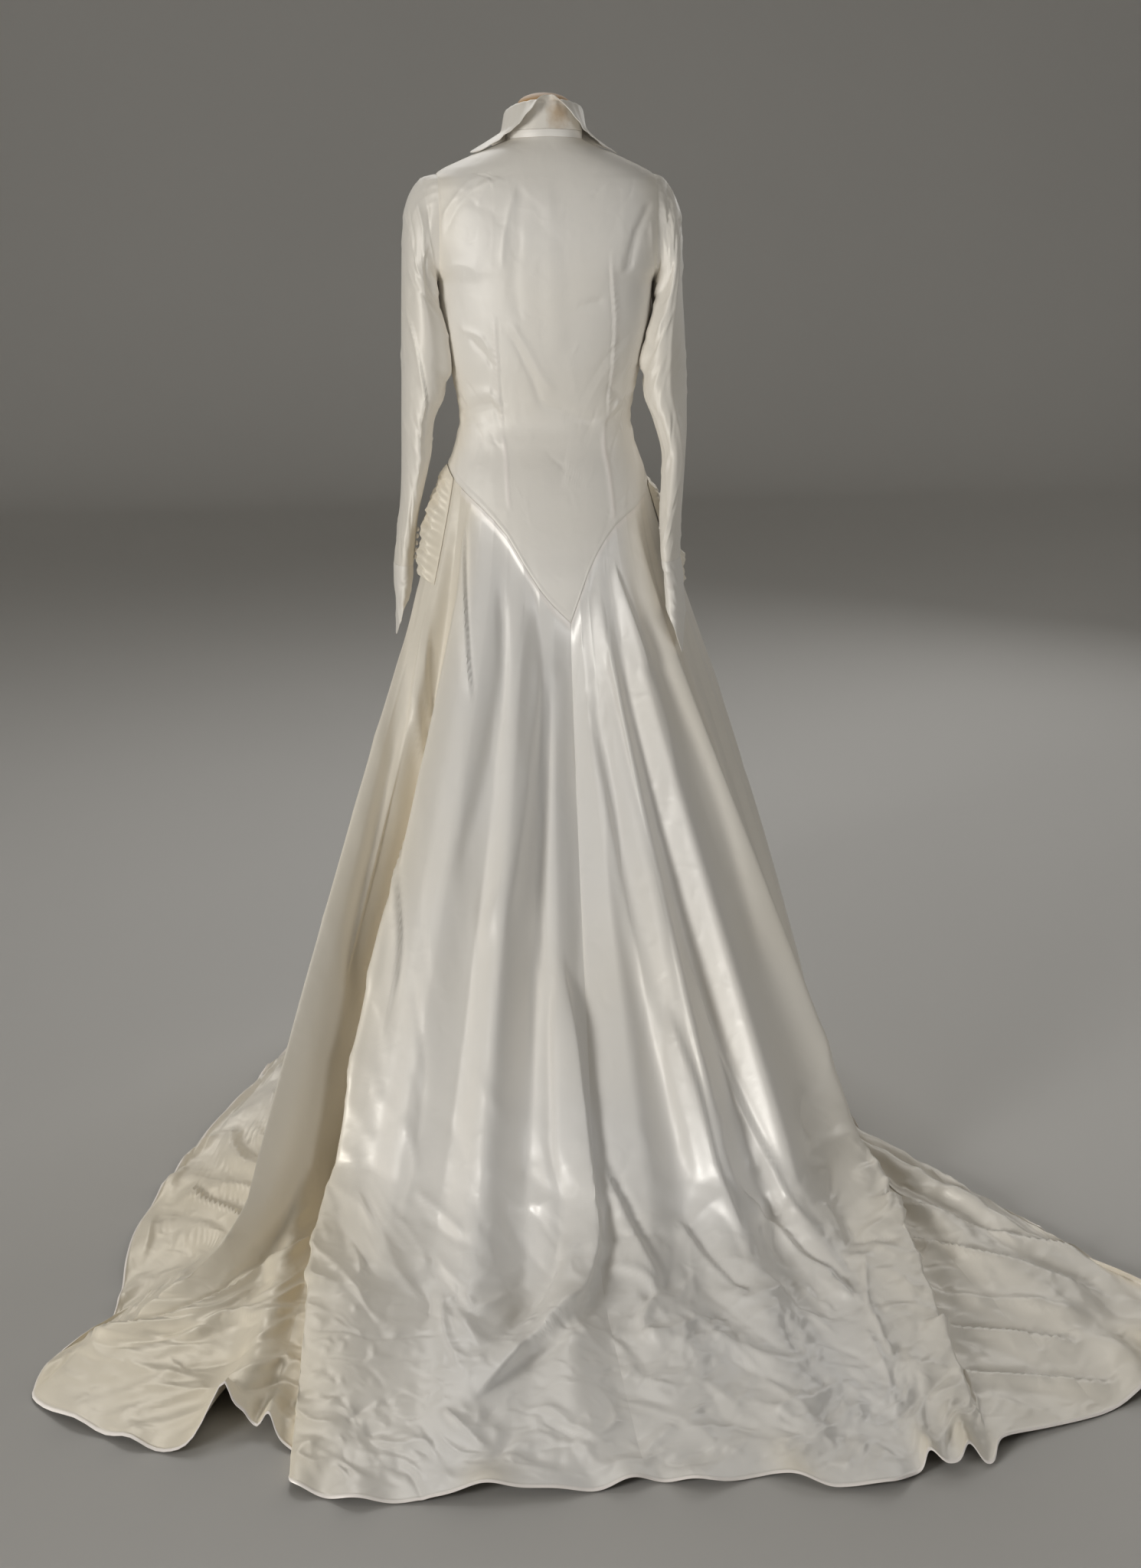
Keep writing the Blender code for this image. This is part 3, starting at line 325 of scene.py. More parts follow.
def smooth(knots, values, at):
    """A monotone cubic curve through the values, which never passes them."""
    knots = np.asarray(knots, float)
    values = np.asarray(values, float)
    at = np.clip(np.asarray(at, float), knots[0], knots[-1])
    step = np.diff(knots)
    slope = np.diff(values) / step
    tangent = np.zeros_like(values)
    same = slope[:-1] * slope[1:] > 0
    wide = 2 * step[1:] + step[:-1]
    narrow = step[1:] + 2 * step[:-1]
    inner = np.zeros_like(slope[1:])
    a = slope[:-1][same]
    b = slope[1:][same]
    inner[same] = (wide + narrow)[same] / (wide[same] / a + narrow[same] / b)
    tangent[1:-1] = inner
    tangent[0] = slope[0]
    tangent[-1] = slope[-1]
    i = np.clip(np.searchsorted(knots, at, side="right") - 1, 0, len(step) - 1)
    h = step[i]
    t = (at - knots[i]) / h
    start = (1 + 2 * t) * (1 - t) ** 2 * values[i] + t * (1 - t) ** 2 * h * tangent[i]
    end = t * t * (3 - 2 * t) * values[i + 1] + t * t * (t - 1) * h * tangent[i + 1]
    return start + end


def ramp(value, low, high):
    """0 below low, 1 above high, eased between."""
    t = np.clip((np.asarray(value, float) - low) / (high - low), 0, 1)
    return t * t * (3 - 2 * t)


def table_value(table, columns, name, at):
    """The named column of a table whose first column is the knot."""
    k = columns.index(name)
    return smooth([row[0] for row in table], [row[k] for row in table], at)


def body(angle, z):
    """Point of the bodice's outer surface at an angle from the centre back, in degrees."""
    angle = np.radians(angle)
    half = table_value(BODY, BODY_COLUMNS, "half", z)
    back = table_value(BODY, BODY_COLUMNS, "back", z)
    front = table_value(BODY, BODY_COLUMNS, "front", z)
    s = np.sin(angle)
    c = np.cos(angle)
    x = half * np.sign(s) * np.abs(s) ** (2 / CROSS_POWER)
    y = np.where(c > 0, back, front) * np.sign(c) * np.abs(c) ** (2 / CROSS_POWER)
    return np.stack([x, y, np.broadcast_to(z, x.shape)], axis=-1)


def neck_height(angle):
    """Height of the neckline."""
    return smooth([row[0] for row in NECKLINE], [row[1] for row in NECKLINE], np.abs(angle))


def seam_height(angle):
    """Height of the basque seam, which comes to a point at the back."""
    angle = (np.asarray(angle, float) + 180) % 360 - 180
    left = smooth([row[0] for row in SEAM_LEFT], [row[1] for row in SEAM_LEFT], angle)
    right = smooth([row[0] for row in SEAM_RIGHT], [row[1] for row in SEAM_RIGHT], angle)
    return np.where(angle >= V_ANGLE, left, right)


def side_angle(z):
    """Angle at which a panel ends at a height: the side seam, the armhole or the shoulder seam."""
    half = table_value(BODY, BODY_COLUMNS, "half", z)
    part = np.clip(ARMHOLE_X / half, 0, 1) ** (CROSS_POWER / 2)
    armhole = np.degrees(np.arcsin(part))
    return np.where((z > UNDERARM_Z) & (z < SHOULDER_Z), armhole, 90.0)


def side_depth(z, behind):
    """Distance of the armhole's edge from its middle at a height."""
    angle = side_angle(z) if behind else 180 - side_angle(z)
    return np.abs(body(angle, z)[..., 1])


def bodice_point(nominal, up, front):
    """Point of a bodice panel: the angle of its line on the basque seam, up 0..1 to the neck."""
    low = seam_height(nominal) + SEAM / 2
    high = neck_height(nominal)
    even = low + (high - low) * up
    fixed = np.where(up < UNDERARM_UP, low + (UNDERARM_Z - low) * up / UNDERARM_UP,
                     np.where(up < SHOULDER_UP,
                              UNDERARM_Z + (SHOULDER_Z - UNDERARM_Z) * (up - UNDERARM_UP)
                              / (SHOULDER_UP - UNDERARM_UP),
                              SHOULDER_Z + (high - SHOULDER_Z) * (up - SHOULDER_UP)
                              / (1 - SHOULDER_UP)))
    inside = np.clip(np.abs(90 - np.abs(nominal)) / 40, 0, 1)
    inside = inside * inside * (3 - 2 * inside)
    z = np.where(up >= 1, high, fixed + (even - fixed) * inside)
    share = (180 - np.abs(nominal) if front else np.abs(nominal)) / 90
    # Lines close in below the underarm already, so that none but the side seam jumps there
    closing = 90 + (side_angle(UNDERARM_Z + SEAM) - 90) * ramp(z, UNDERARM_Z - CLOSE_IN, UNDERARM_Z)
    limit = np.where(z < UNDERARM_Z, closing + (90 - closing) * share ** EDGE_POWER, side_angle(z))
    turned = np.sign(nominal) * (180 - share * limit)
    angle = turned if front else np.sign(nominal) * share * limit
    return body(angle, z)


def seam_point(angle):
    """Point of the basque seam, straight between the lines of the bodice."""
    knots = fold_value("top", np.array(SEAM_LINES, float))
    points = body(knots, seam_height(knots))
    angle = (np.asarray(angle, float) + 180) % 360 - 180
    return np.stack([np.interp(angle, knots, points[:, k]) for k in range(3)], axis=-1)


def sleeve_value(table, name, ring):
    """A column of a sleeve table at a ring number."""
    k = SLEEVE_COLUMNS.index(name)
    return smooth(np.arange(len(table)), [row[k] for row in table], ring)


def sleeve_point(table, side, phi, ring):
    """Point of a sleeve: phi round from its outer edge, ring down from the armhole."""
    out_x, out_z, in_x, in_z, depth, y, swing = (sleeve_value(table, n, ring) for n in SLEEVE_COLUMNS)
    c = np.cos(phi)
    s = np.sin(phi)
    z = (out_z + in_z) / 2 + c * (out_z - in_z) / 2
    hole = np.where(s > 0, side_depth(z, True), side_depth(z, False))
    near = np.clip(1 - ring, 0, 1)
    wide = np.abs(s) * depth * (1 - near) + hole * near
    x = (out_x + in_x) / 2 + c * (out_x - in_x) / 2 - swing * s
    return np.stack([side * x, y + np.sign(s) * wide, z], axis=-1)


def cuff_point(table, side, top_z, phi, down):
    """Point of a cuff: its lower edge runs to a point on the outer side."""
    reach = CUFF_SHORT + (1 - CUFF_SHORT) * ((1 + np.cos(phi)) / 2) ** 1.5
    fall = table[-1][0] * down * reach
    out_x, in_x, depth, y, swing = (table_value(table, CUFF_COLUMNS, n, fall)
                                    for n in CUFF_COLUMNS[1:])
    x = (out_x + in_x) / 2 + np.cos(phi) * (out_x - in_x) / 2 - swing * np.sin(phi)
    return np.stack([side * x, y + np.sin(phi) * depth, top_z - CUFF_GAP - fall], axis=-1)


def neck_point(angle):
    """Point of the neckline."""
    return body(angle, neck_height(angle))


def collar_point(angle, along):
    """Point of the collar leaf: along 0..1 from the stand, over the roll and out to the edge."""
    stand, roll, leaf, flare = (table_value(COLLAR, COLLAR_COLUMNS, n, angle) for n in COLLAR_COLUMNS[1:])
    roll = np.radians(roll)
    flare = np.radians(flare)
    lean = math.radians(COLLAR_LEAN)
    base = neck_point(angle)
    arc = COLLAR_ROLL_RADIUS * (roll - lean)
    run = along * (stand + arc + leaf)
    straight = np.minimum(run, stand)
    turned = np.clip((run - stand) / COLLAR_ROLL_RADIUS, 0, roll - lean)
    beyond = np.clip(run - stand - arc, 0, None)
    reach = COLLAR_ROLL_RADIUS * (math.cos(lean) - np.cos(lean + turned))
    rise = COLLAR_ROLL_RADIUS * (np.sin(lean + turned) - math.sin(lean))
    # Past the stand's own depth the leaf bends out, on to the shoulder
    near = np.minimum(beyond, np.maximum(stand + COLLAR_DROP, COLLAR_SHORTEST_DROP))
    bend = np.clip(beyond - near, 0, COLLAR_BEND_RADIUS * flare) / COLLAR_BEND_RADIUS
    far = beyond - near - COLLAR_BEND_RADIUS * bend
    reach = reach + straight * math.sin(lean) + near * np.sin(roll) + far * np.sin(roll - flare)
    rise = rise + straight * math.cos(lean) + near * np.cos(roll) + far * np.cos(roll - flare)
    reach = reach + COLLAR_BEND_RADIUS * (np.cos(roll - bend) - np.cos(roll))
    rise = rise + COLLAR_BEND_RADIUS * (np.sin(roll) - np.sin(roll - bend))
    flat = base[..., :2] / np.linalg.norm(base[..., :2], axis=-1, keepdims=True)
    z = base[..., 2] + STAND_HEIGHT + COLLAR_GAP + rise
    return np.stack([base[..., 0] + flat[..., 0] * reach, base[..., 1] + flat[..., 1] * reach, z], axis=-1)


def fold_value(name, line):
    """A column of the skirt's table at a line number, which runs on past the centre front."""
    k = FOLD_COLUMNS.index(name)
    values = [row[k] for row in FOLDS]
    turn = 360 if name == "top" else 0
    ring = [v - turn for v in values[-3:]] + values + [v + turn for v in values[:12]]
    return smooth(np.arange(-3, len(FOLDS) + 12), ring, line)


def skirt_point(line, down):
    """Point of the skirt: line round it, down 0..1 from the basque seam to the hem."""
    top, foot_x, foot_y, hem_x, hem_y, hip, puff, lift, hem_lift = (
        fold_value(name, line) for name in FOLD_COLUMNS)
    rise = np.array([0, 0, 1.0])
    seam = seam_point(top)
    height = seam[..., 2]
    radial = np.stack([np.sin(np.radians(top)), np.cos(np.radians(top)), 0 * top], axis=-1)
    foot = np.stack([foot_x, foot_y, 0 * top], axis=-1)
    hem = np.stack([hem_x, hem_y, 0 * top], axis=-1)
    below = body(top, height - SKIRT_DROP) + radial * (SKIRT_FLARE * SKIRT_DROP + hip + 0.4 * puff)[..., None]
    knee = foot + (below - foot) * (KNEE_HEIGHT / below[..., 2])[..., None]
    low = foot + (below - foot) * 0.40 + radial * (1.9 * puff)[..., None]
    run = hem - foot
    length = np.linalg.norm(run, axis=-1)
    settle = foot + run * (np.minimum(0.10, 0.4 * length) / length)[..., None]
    foot = foot + rise * (FLOOR_REST + lift)[..., None]
    settle = settle + rise * (FLOOR_REST + lift)[..., None]
    t = np.clip(down / UPPER_SHARE, 0, 1)[..., None]
    upper = ((1 - t) ** 3 * seam + 3 * (1 - t) ** 2 * t * below + 3 * (1 - t) * t * t * low
             + t ** 3 * knee)
    t = np.clip((down - UPPER_SHARE) / BEND_SHARE, 0, 1)[..., None]
    bend = (1 - t) ** 2 * knee + 2 * (1 - t) * t * foot + t * t * settle
    t = np.clip((down - UPPER_SHARE - BEND_SHARE) / (1 - UPPER_SHARE - BEND_SHARE), 0, 1)
    end = hem + rise * (FLOOR_REST + hem_lift)[..., None]
    floor = settle + (end - settle) * t[..., None] + (lift * ((1 - t) ** 0.7 - (1 - t)))[..., None] * rise
    place = down[..., None]
    out = np.where(place <= UPPER_SHARE, upper, bend)
    return np.where(place <= UPPER_SHARE + BEND_SHARE, out, floor)


def grid_normals(grid):
    """Unit vectors out of a grid whose rows run down and whose columns run left round the back."""
    across = np.gradient(grid, axis=1)
    fall = np.gradient(grid, axis=0)
    normal = np.cross(across, fall)
    return normal / np.maximum(np.linalg.norm(normal, axis=-1, keepdims=True), 1e-12)


def grid_lengths(grid, middle=0):
    """Metres across each row from a middle column, and down each column."""
    step = np.linalg.norm(np.diff(grid, axis=1), axis=-1)
    across = np.concatenate([np.zeros((grid.shape[0], 1)), np.cumsum(step, axis=1)], axis=1)
    step = np.linalg.norm(np.diff(grid, axis=0), axis=-1)
    down = np.concatenate([np.zeros((1, grid.shape[1])), np.cumsum(step, axis=0)], axis=0)
    return across - across[:, middle:middle + 1], down


def near_point(grid, point):
    """Row and column of the grid's point that is nearest to a place."""
    gap = ((grid - np.asarray(point)) ** 2).sum(axis=-1)
    return np.unravel_index(int(np.argmin(gap)), gap.shape)


def crease_profile(kind, off, width):
    """Height across a crease: a soft ridge, a sharp crease, or a fold whose left side lies over."""
    if kind == "ridge":
        return np.exp(-(off / width) ** 2)
    if kind == "crease":
        tip = 0.3 * width
        return np.exp(-(np.sqrt(off * off + tip * tip) - tip) / width)
    over = np.exp(-(np.clip(off, 0, None) / (2.6 * width)) ** 1.5)
    under = np.exp(-(np.clip(-off, 0, None) / (0.30 * width)) ** 2)
    foot = -0.25 * np.exp(-((off + 1.1 * width) / (0.7 * width)) ** 2)
    return np.where(off > 0, over, under) + foot


def placed_crease(grid, u, v, points, kind, width, height, ends=0.16):
    """Heights of one crease, laid through points on the cloth; width and height in millimetres."""
    width = width / 1000
    near = [near_point(grid, point) for point in points]
    knots = np.arange(len(points))
    fine = np.linspace(0, knots[-1], 5 * knots[-1] + 1)
    path_u = smooth(knots, [u[at] for at in near], fine)
    path_v = smooth(knots, [v[at] for at in near], fine)
    reach = 5 * width
    close = ((u > path_u.min() - reach) & (u < path_u.max() + reach)
             & (v > path_v.min() - reach) & (v < path_v.max() + reach))
    a = u[close]
    b = v[close]
    best = np.full(a.shape, np.inf)
    off = np.full(a.shape, np.inf)
    place = np.zeros(a.shape)
    steps = np.hypot(np.diff(path_u), np.diff(path_v))
    start = np.concatenate([[0], np.cumsum(steps)])
    for k in np.flatnonzero(steps > 1e-6):
        way_u = (path_u[k + 1] - path_u[k]) / steps[k]
        way_v = (path_v[k + 1] - path_v[k]) / steps[k]
        along = np.clip((a - path_u[k]) * way_u + (b - path_v[k]) * way_v, 0, steps[k])
        off_u = a - path_u[k] - along * way_u
        off_v = b - path_v[k] - along * way_v
        gap = np.hypot(off_u, off_v)
        closer = gap < best
        best = np.where(closer, gap, best)
        off = np.where(closer, np.where(off_u * way_v >= off_v * way_u, gap, -gap), off)
        place = np.where(closer, (start[k] + along) / start[-1], place)
    fade = ramp(place, 0, ends) * ramp(1 - place, 0, ends) * np.exp(-(best / (4.5 * width)) ** 4)
    out = np.zeros(u.shape)
    out[close] = height / 1000 * crease_profile(kind, off, width) * fade
    return out


def random_creases(u, v, draws, count, places, length, width, height, turn, spread, ridges=0.5):
    """Heights of small random creases about the places: rows and columns; sizes in millimetres."""
    total = np.zeros_like(u)
    rows, columns = places
    for _ in range(count):
        row = int(draws.uniform(*rows))
        column = int(draws.uniform(*columns))
        half = draws.uniform(*length) / 2000
        flank = draws.uniform(*width) / 1000
        tall = draws.uniform(*height) / 1000 * (1 if draws.random() < ridges else -1)
        angle = turn + draws.normal(0, spread)
        bow = draws.normal(0, 0.35) / half
        c = math.cos(angle)
        s = math.sin(angle)
        gap_u = u - u[row, column]
        gap_v = v - v[row, column]
        reach = 2.0 * half + 3 * flank
        near = (np.abs(gap_u) < reach) & (np.abs(gap_v) < reach)
        along = gap_u[near] * s + gap_v[near] * c
        off = gap_u[near] * c - gap_v[near] * s + bow * along * along
        total[near] += tall * crease_profile("crease", off, flank) * np.exp(-1.6 * (along / half) ** 2)
    return total


def add_node(tree, kind, inputs=None, **settings):
    """A node with its settings, whose inputs are values or other nodes' outputs."""
    made = tree.nodes.new(kind)
    for name, value in settings.items():
        setattr(made, name, value)
    for name, value in (inputs or {}).items():
        if isinstance(value, bpy.types.NodeSocket):
            tree.links.new(value, made.inputs[name])
        else:
            made.inputs[name].default_value = value
    return made


def new_material(name):
    """An empty material with its tree and shader."""
    made = bpy.data.materials.new(name)
    made.use_nodes = True
    tree = made.node_tree
    return made, tree, tree.nodes["Principled BSDF"]


def set_shader(tree, shader, **values):
    """Sets the shader's sockets by their names, with underscores for spaces."""
    for name, value in values.items():
        socket = shader.inputs[name.replace("_", " ")]
        if isinstance(value, bpy.types.NodeSocket):
            tree.links.new(value, socket)
        else:
            socket.default_value = value


def satin(name, crinkle=1.0, gloss=1.0, stained=False):
    """Woven acetate satin: a smooth warp face that shines along broad, soft streaks."""
    found = bpy.data.materials.get(name)
    if found:
        return found
    colours = bpy.context.scene.dress_colours
    made, tree, shader = new_material(name)
    where = add_node(tree, "ShaderNodeTexCoord")
    # Ageing in soft patches about 0.3 m across
    patch = add_node(tree, "ShaderNodeTexNoise",
                     {"Vector": where.outputs["Object"], "Scale": 3.2, "Detail": 2.0})
    # This attribute carries the yellowing, and on the skirt's back gore also painted shade where the cloth turns
    # away from the light
    yellowing_and_shade = add_node(tree, "ShaderNodeAttribute", attribute_name="cream_and_shade")
    both = add_node(tree, "ShaderNodeMath", {0: patch.outputs["Fac"], 1: 0.55, 2: -0.20},
                    operation="MULTIPLY_ADD")
    share = add_node(tree, "ShaderNodeMath", {0: both.outputs[0], 1: yellowing_and_shade.outputs["Fac"]},
                     operation="ADD", use_clamp=True)
    colour = add_node(tree, "ShaderNodeMix",
                      {"Factor": share.outputs[0], "A": (*colours.satin_cool, 1),
                       "B": (*colours.satin_yellowed_and_shaded, 1)}, data_type="RGBA")
    edge = add_node(tree, "ShaderNodeAttribute", attribute_name="edge")
    hemmed = add_node(tree, "ShaderNodeMix",
                      {"Factor": edge.outputs["Fac"], "A": colour.outputs["Result"],
                       "B": (*colours.hem_edge, 1)}, data_type="RGBA")
    out = hemmed.outputs["Result"]
    if stained:
        # A water mark about 40 mm wide, right of the centre back
        shift = add_node(tree, "ShaderNodeMapping",
                         {"Vector": where.outputs["Object"], "Location": (-0.013, 0.056, 1.476),
                          "Scale": (1.0, 1.0, 1.3)}, vector_type="TEXTURE")
        blot = add_node(tree, "ShaderNodeTexNoise",
                        {"Vector": where.outputs["Object"], "Scale": 60.0, "Detail": 3.0})
        far = add_node(tree, "ShaderNodeVectorMath", {0: shift.outputs[0]}, operation="LENGTH")
        edge = add_node(tree, "ShaderNodeMath",
                        {0: blot.outputs["Fac"], 1: 0.026, 2: far.outputs["Value"]},
                        operation="MULTIPLY_ADD")
        mark = add_node(tree, "ShaderNodeMapRange",
                        {"Value": edge.outputs[0], "From Min": 0.019, "From Max": 0.034,
                         "To Min": 0.75, "To Max": 0.0})
        mix = add_node(tree, "ShaderNodeMix",
                       {"Factor": mark.outputs[0], "A": out, "B": (*colours.stain, 1)},
                       data_type="RGBA")
        out = mix.outputs["Result"]
    # Slubs in the weft, 1.5 mm wide and 30 mm long, drawn coarser than the thread
    run = add_node(tree, "ShaderNodeMapping",
                   {"Vector": where.outputs["UV"], "Scale": (40.0, 620.0, 1.0)})
    slub = add_node(tree, "ShaderNodeTexNoise",
                    {"Vector": run.outputs[0], "Scale": 1.0, "Detail": 2.0})
    warp = add_node(tree, "ShaderNodeMapping",
                    {"Vector": where.outputs["UV"], "Scale": (900.0, 12.0, 1.0)})
    thread = add_node(tree, "ShaderNodeTexNoise",
                      {"Vector": warp.outputs[0], "Scale": 1.0, "Detail": 1.0})
    # Fine crinkles 15 to 40 mm apart, where the cloth has been crushed
    fold = add_node(tree, "ShaderNodeTexNoise",
                    {"Vector": where.outputs["Object"], "Scale": 34.0, "Detail": 3.0,
                     "Roughness": 0.45, "Distortion": 0.6}, noise_type="RIDGED_MULTIFRACTAL",
                    normalize=True)
    crushed = add_node(tree, "ShaderNodeAttribute", attribute_name="crushed")
    depth = add_node(tree, "ShaderNodeMath",
                     {0: fold.outputs["Fac"], 1: crushed.outputs["Fac"]}, operation="MULTIPLY")
    wrinkle = add_node(tree, "ShaderNodeBump",
                       {"Height": depth.outputs[0], "Strength": 0.8, "Distance": 0.0022 * crinkle})
    weft = add_node(tree, "ShaderNodeBump",
                    {"Height": slub.outputs["Fac"], "Strength": 0.35, "Distance": 0.00016,
                     "Normal": wrinkle.outputs["Normal"]})
    grain = add_node(tree, "ShaderNodeBump",
                     {"Height": thread.outputs["Fac"], "Strength": 0.30, "Distance": 0.00012,
                      "Normal": weft.outputs["Normal"]})
    rough = add_node(tree, "ShaderNodeMapRange",
                     {"Value": slub.outputs["Fac"], "From Min": 0.3, "From Max": 0.7,
                      "To Min": 0.50 - 0.10 * gloss, "To Max": 0.56 - 0.10 * gloss})
    way = add_node(tree, "ShaderNodeTangent", direction_type="UV_MAP", uv_map="UVMap")
    set_shader(tree, shader, Base_Color=out, Roughness=rough.outputs[0], Metallic=0.08 + 0.07 * gloss,
               Anisotropic=0.45, Tangent=way.outputs[0], Sheen_Weight=0.12, Sheen_Roughness=0.4,
               Normal=grain.outputs["Normal"])
    return made


def form_cloth():
    """Jersey stretched over padding: a fine knit with no shine."""
    found = bpy.data.materials.get("form_jersey")
    if found:
        return found
    made, tree, shader = new_material("form_jersey")
    where = add_node(tree, "ShaderNodeTexCoord")
    knit = add_node(tree, "ShaderNodeTexNoise",
                    {"Vector": where.outputs["Object"], "Scale": 420.0, "Detail": 3.0})
    wear = add_node(tree, "ShaderNodeTexNoise",
                    {"Vector": where.outputs["Object"], "Scale": 18.0, "Detail": 3.0})
    base = bpy.context.scene.dress_colours.form_cloth
    colour = add_node(tree, "ShaderNodeMix",
                      {"Factor": wear.outputs["Fac"], "A": (*[0.72 * c for c in base], 1),
                       "B": (*[1.15 * c for c in base], 1)}, data_type="RGBA")
    bump = add_node(tree, "ShaderNodeBump",
                    {"Height": knit.outputs["Fac"], "Strength": 0.5, "Distance": 0.0004})
    set_shader(tree, shader, Base_Color=colour.outputs["Result"], Roughness=0.62, Sheen_Weight=0.35,
               Normal=bump.outputs["Normal"])
    return made


def lacquered_wood():
    """Turned beech under brown lacquer, its grain drawn along X."""
    made, tree, shader = new_material("lacquered_beech")
    where = add_node(tree, "ShaderNodeTexCoord")
    run = add_node(tree, "ShaderNodeMapping",
                   {"Vector": where.outputs["Object"], "Scale": (6.0, 90.0, 90.0)})
    grain = add_node(tree, "ShaderNodeTexNoise", {"Vector": run.outputs[0], "Scale": 1.0, "Detail": 4.0})
    base = bpy.context.scene.dress_colours.wood
    colour = add_node(tree, "ShaderNodeMix",
                      {"Factor": grain.outputs["Fac"], "A": (*[0.6 * c for c in base], 1),
                       "B": (*[1.3 * c for c in base], 1)}, data_type="RGBA")
    set_shader(tree, shader, Base_Color=colour.outputs["Result"], Roughness=0.35, Coat_Weight=0.6,
               Coat_Roughness=0.12)
    return made


def painted_steel():
    """Steel tube under black enamel, with the faint ripple of brushed paint."""
    made, tree, shader = new_material("black_enamel_on_steel")
    where = add_node(tree, "ShaderNodeTexCoord")
    ripple = add_node(tree, "ShaderNodeTexNoise",
                      {"Vector": where.outputs["Object"], "Scale": 80.0, "Detail": 2.0})
    gloss = add_node(tree, "ShaderNodeMapRange",
                     {"Value": ripple.outputs["Fac"], "To Min": 0.25, "To Max": 0.42})
    bump = add_node(tree, "ShaderNodeBump",
                    {"Height": ripple.outputs["Fac"], "Strength": 0.2, "Distance": 0.0004})
    set_shader(tree, shader, Base_Color=(*bpy.context.scene.dress_colours.steel, 1),
               Roughness=gloss.outputs[0], Coat_Weight=0.3, Normal=bump.outputs["Normal"])
    return made


def studio_paper():
    """Matt seamless paper."""
    made, tree, shader = new_material("studio_paper")
    where = add_node(tree, "ShaderNodeTexCoord")
    cloud = add_node(tree, "ShaderNodeTexNoise",
                     {"Vector": where.outputs["Object"], "Scale": 0.8, "Detail": 2.0})
    base = bpy.context.scene.dress_colours.paper
    colour = add_node(tree, "ShaderNodeMix",
                      {"Factor": cloud.outputs["Fac"], "A": (*[0.97 * c for c in base], 1),
                       "B": (*[1.03 * c for c in base], 1)}, data_type="RGBA")
    set_shader(tree, shader, Base_Color=colour.outputs["Result"], Roughness=0.9)
    return made


def nothing_selected():
    """Deselects all, so that an operator acts on the new piece alone."""
    if bpy.context.object and bpy.context.object.mode != "OBJECT":
        bpy.ops.object.mode_set(mode="OBJECT")
    bpy.ops.object.select_all(action="DESELECT")


def finish_piece(piece, name, finish):
    """Names a piece, gives it its finish and its body."""
    piece.name = name
    piece.data.name = name
    piece.data.materials.clear()
    piece.data.materials.append(finish)
    nothing_selected()
    piece.select_set(True)
    bpy.context.view_layer.objects.active = piece
    bpy.ops.object.shade_smooth_by_angle(angle=math.radians(62))
    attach(piece, BODY_NAME)
    return piece


def cloth_piece(name, grid, finish, closed=False, crushed=0.0, cream_and_shade=0.0, edge=0.0,
                wall=None):
    """A thin shell through a grid of points whose rows run down and columns run left round the back."""
    rows, columns = grid.shape[:2]
    nothing_selected()
    bpy.ops.mesh.primitive_grid_add(x_subdivisions=columns - 1, y_subdivisions=rows - 1, size=1)
    piece = bpy.context.object
    mesh = piece.data
    mesh.vertices.foreach_set("co", grid.astype(np.float32).ravel())
    across, down = grid_lengths(grid, columns // 2)
    index = np.zeros(len(mesh.loops), np.int32)
    mesh.loops.foreach_get("vertex_index", index)
    flat = np.stack([across.ravel()[index], -down.ravel()[index]], axis=-1)
    mesh.uv_layers["UVMap"].uv.foreach_set("vector", flat.astype(np.float32).ravel())
    for label, value in (("crushed", crushed), ("cream_and_shade", cream_and_shade), ("edge", edge)):
        layer = mesh.attributes.new(label, "FLOAT", "POINT")
        layer.data.foreach_set("value", np.broadcast_to(value, grid.shape[:2]).astype(np.float32).ravel())
    mesh.update()
    if closed:
        bpy.ops.object.mode_set(mode="EDIT")
        bpy.ops.mesh.select_all(action="SELECT")
        bpy.ops.mesh.remove_doubles(threshold=0.00005)
        bpy.ops.object.mode_set(mode="OBJECT")
    shell = piece.modifiers.new("shell", "SOLIDIFY")
    shell.thickness = wall or bpy.context.scene.dress_sizes.cloth
    shell.offset = -1.0
    shell.use_quality_normals = True
    bpy.ops.object.modifier_apply(modifier=shell.name)
    finish_piece(piece, name, finish)
    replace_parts(piece, name)
    return piece


def declare_cloth(piece, grid, closed=False):
    """States the flat size that the piece was cut to."""
    step = np.linalg.norm(np.diff(grid, axis=1), axis=-1).sum(axis=1)
    fall = np.linalg.norm(np.diff(grid, axis=0), axis=-1).sum(axis=0)
    a = grid[1:, 1:] - grid[:-1, :-1]
    b = grid[1:, :-1] - grid[:-1, 1:]
    area = float(np.linalg.norm(np.cross(a, b), axis=-1).sum() / 2)
    width = float(step.max()) * 1.01
    length = float(fall.max()) * 1.01
    area = max(area, 0.31 * width * length)
    print("cut", piece.name, round(width, 3), round(length, 3), round(area, 3))
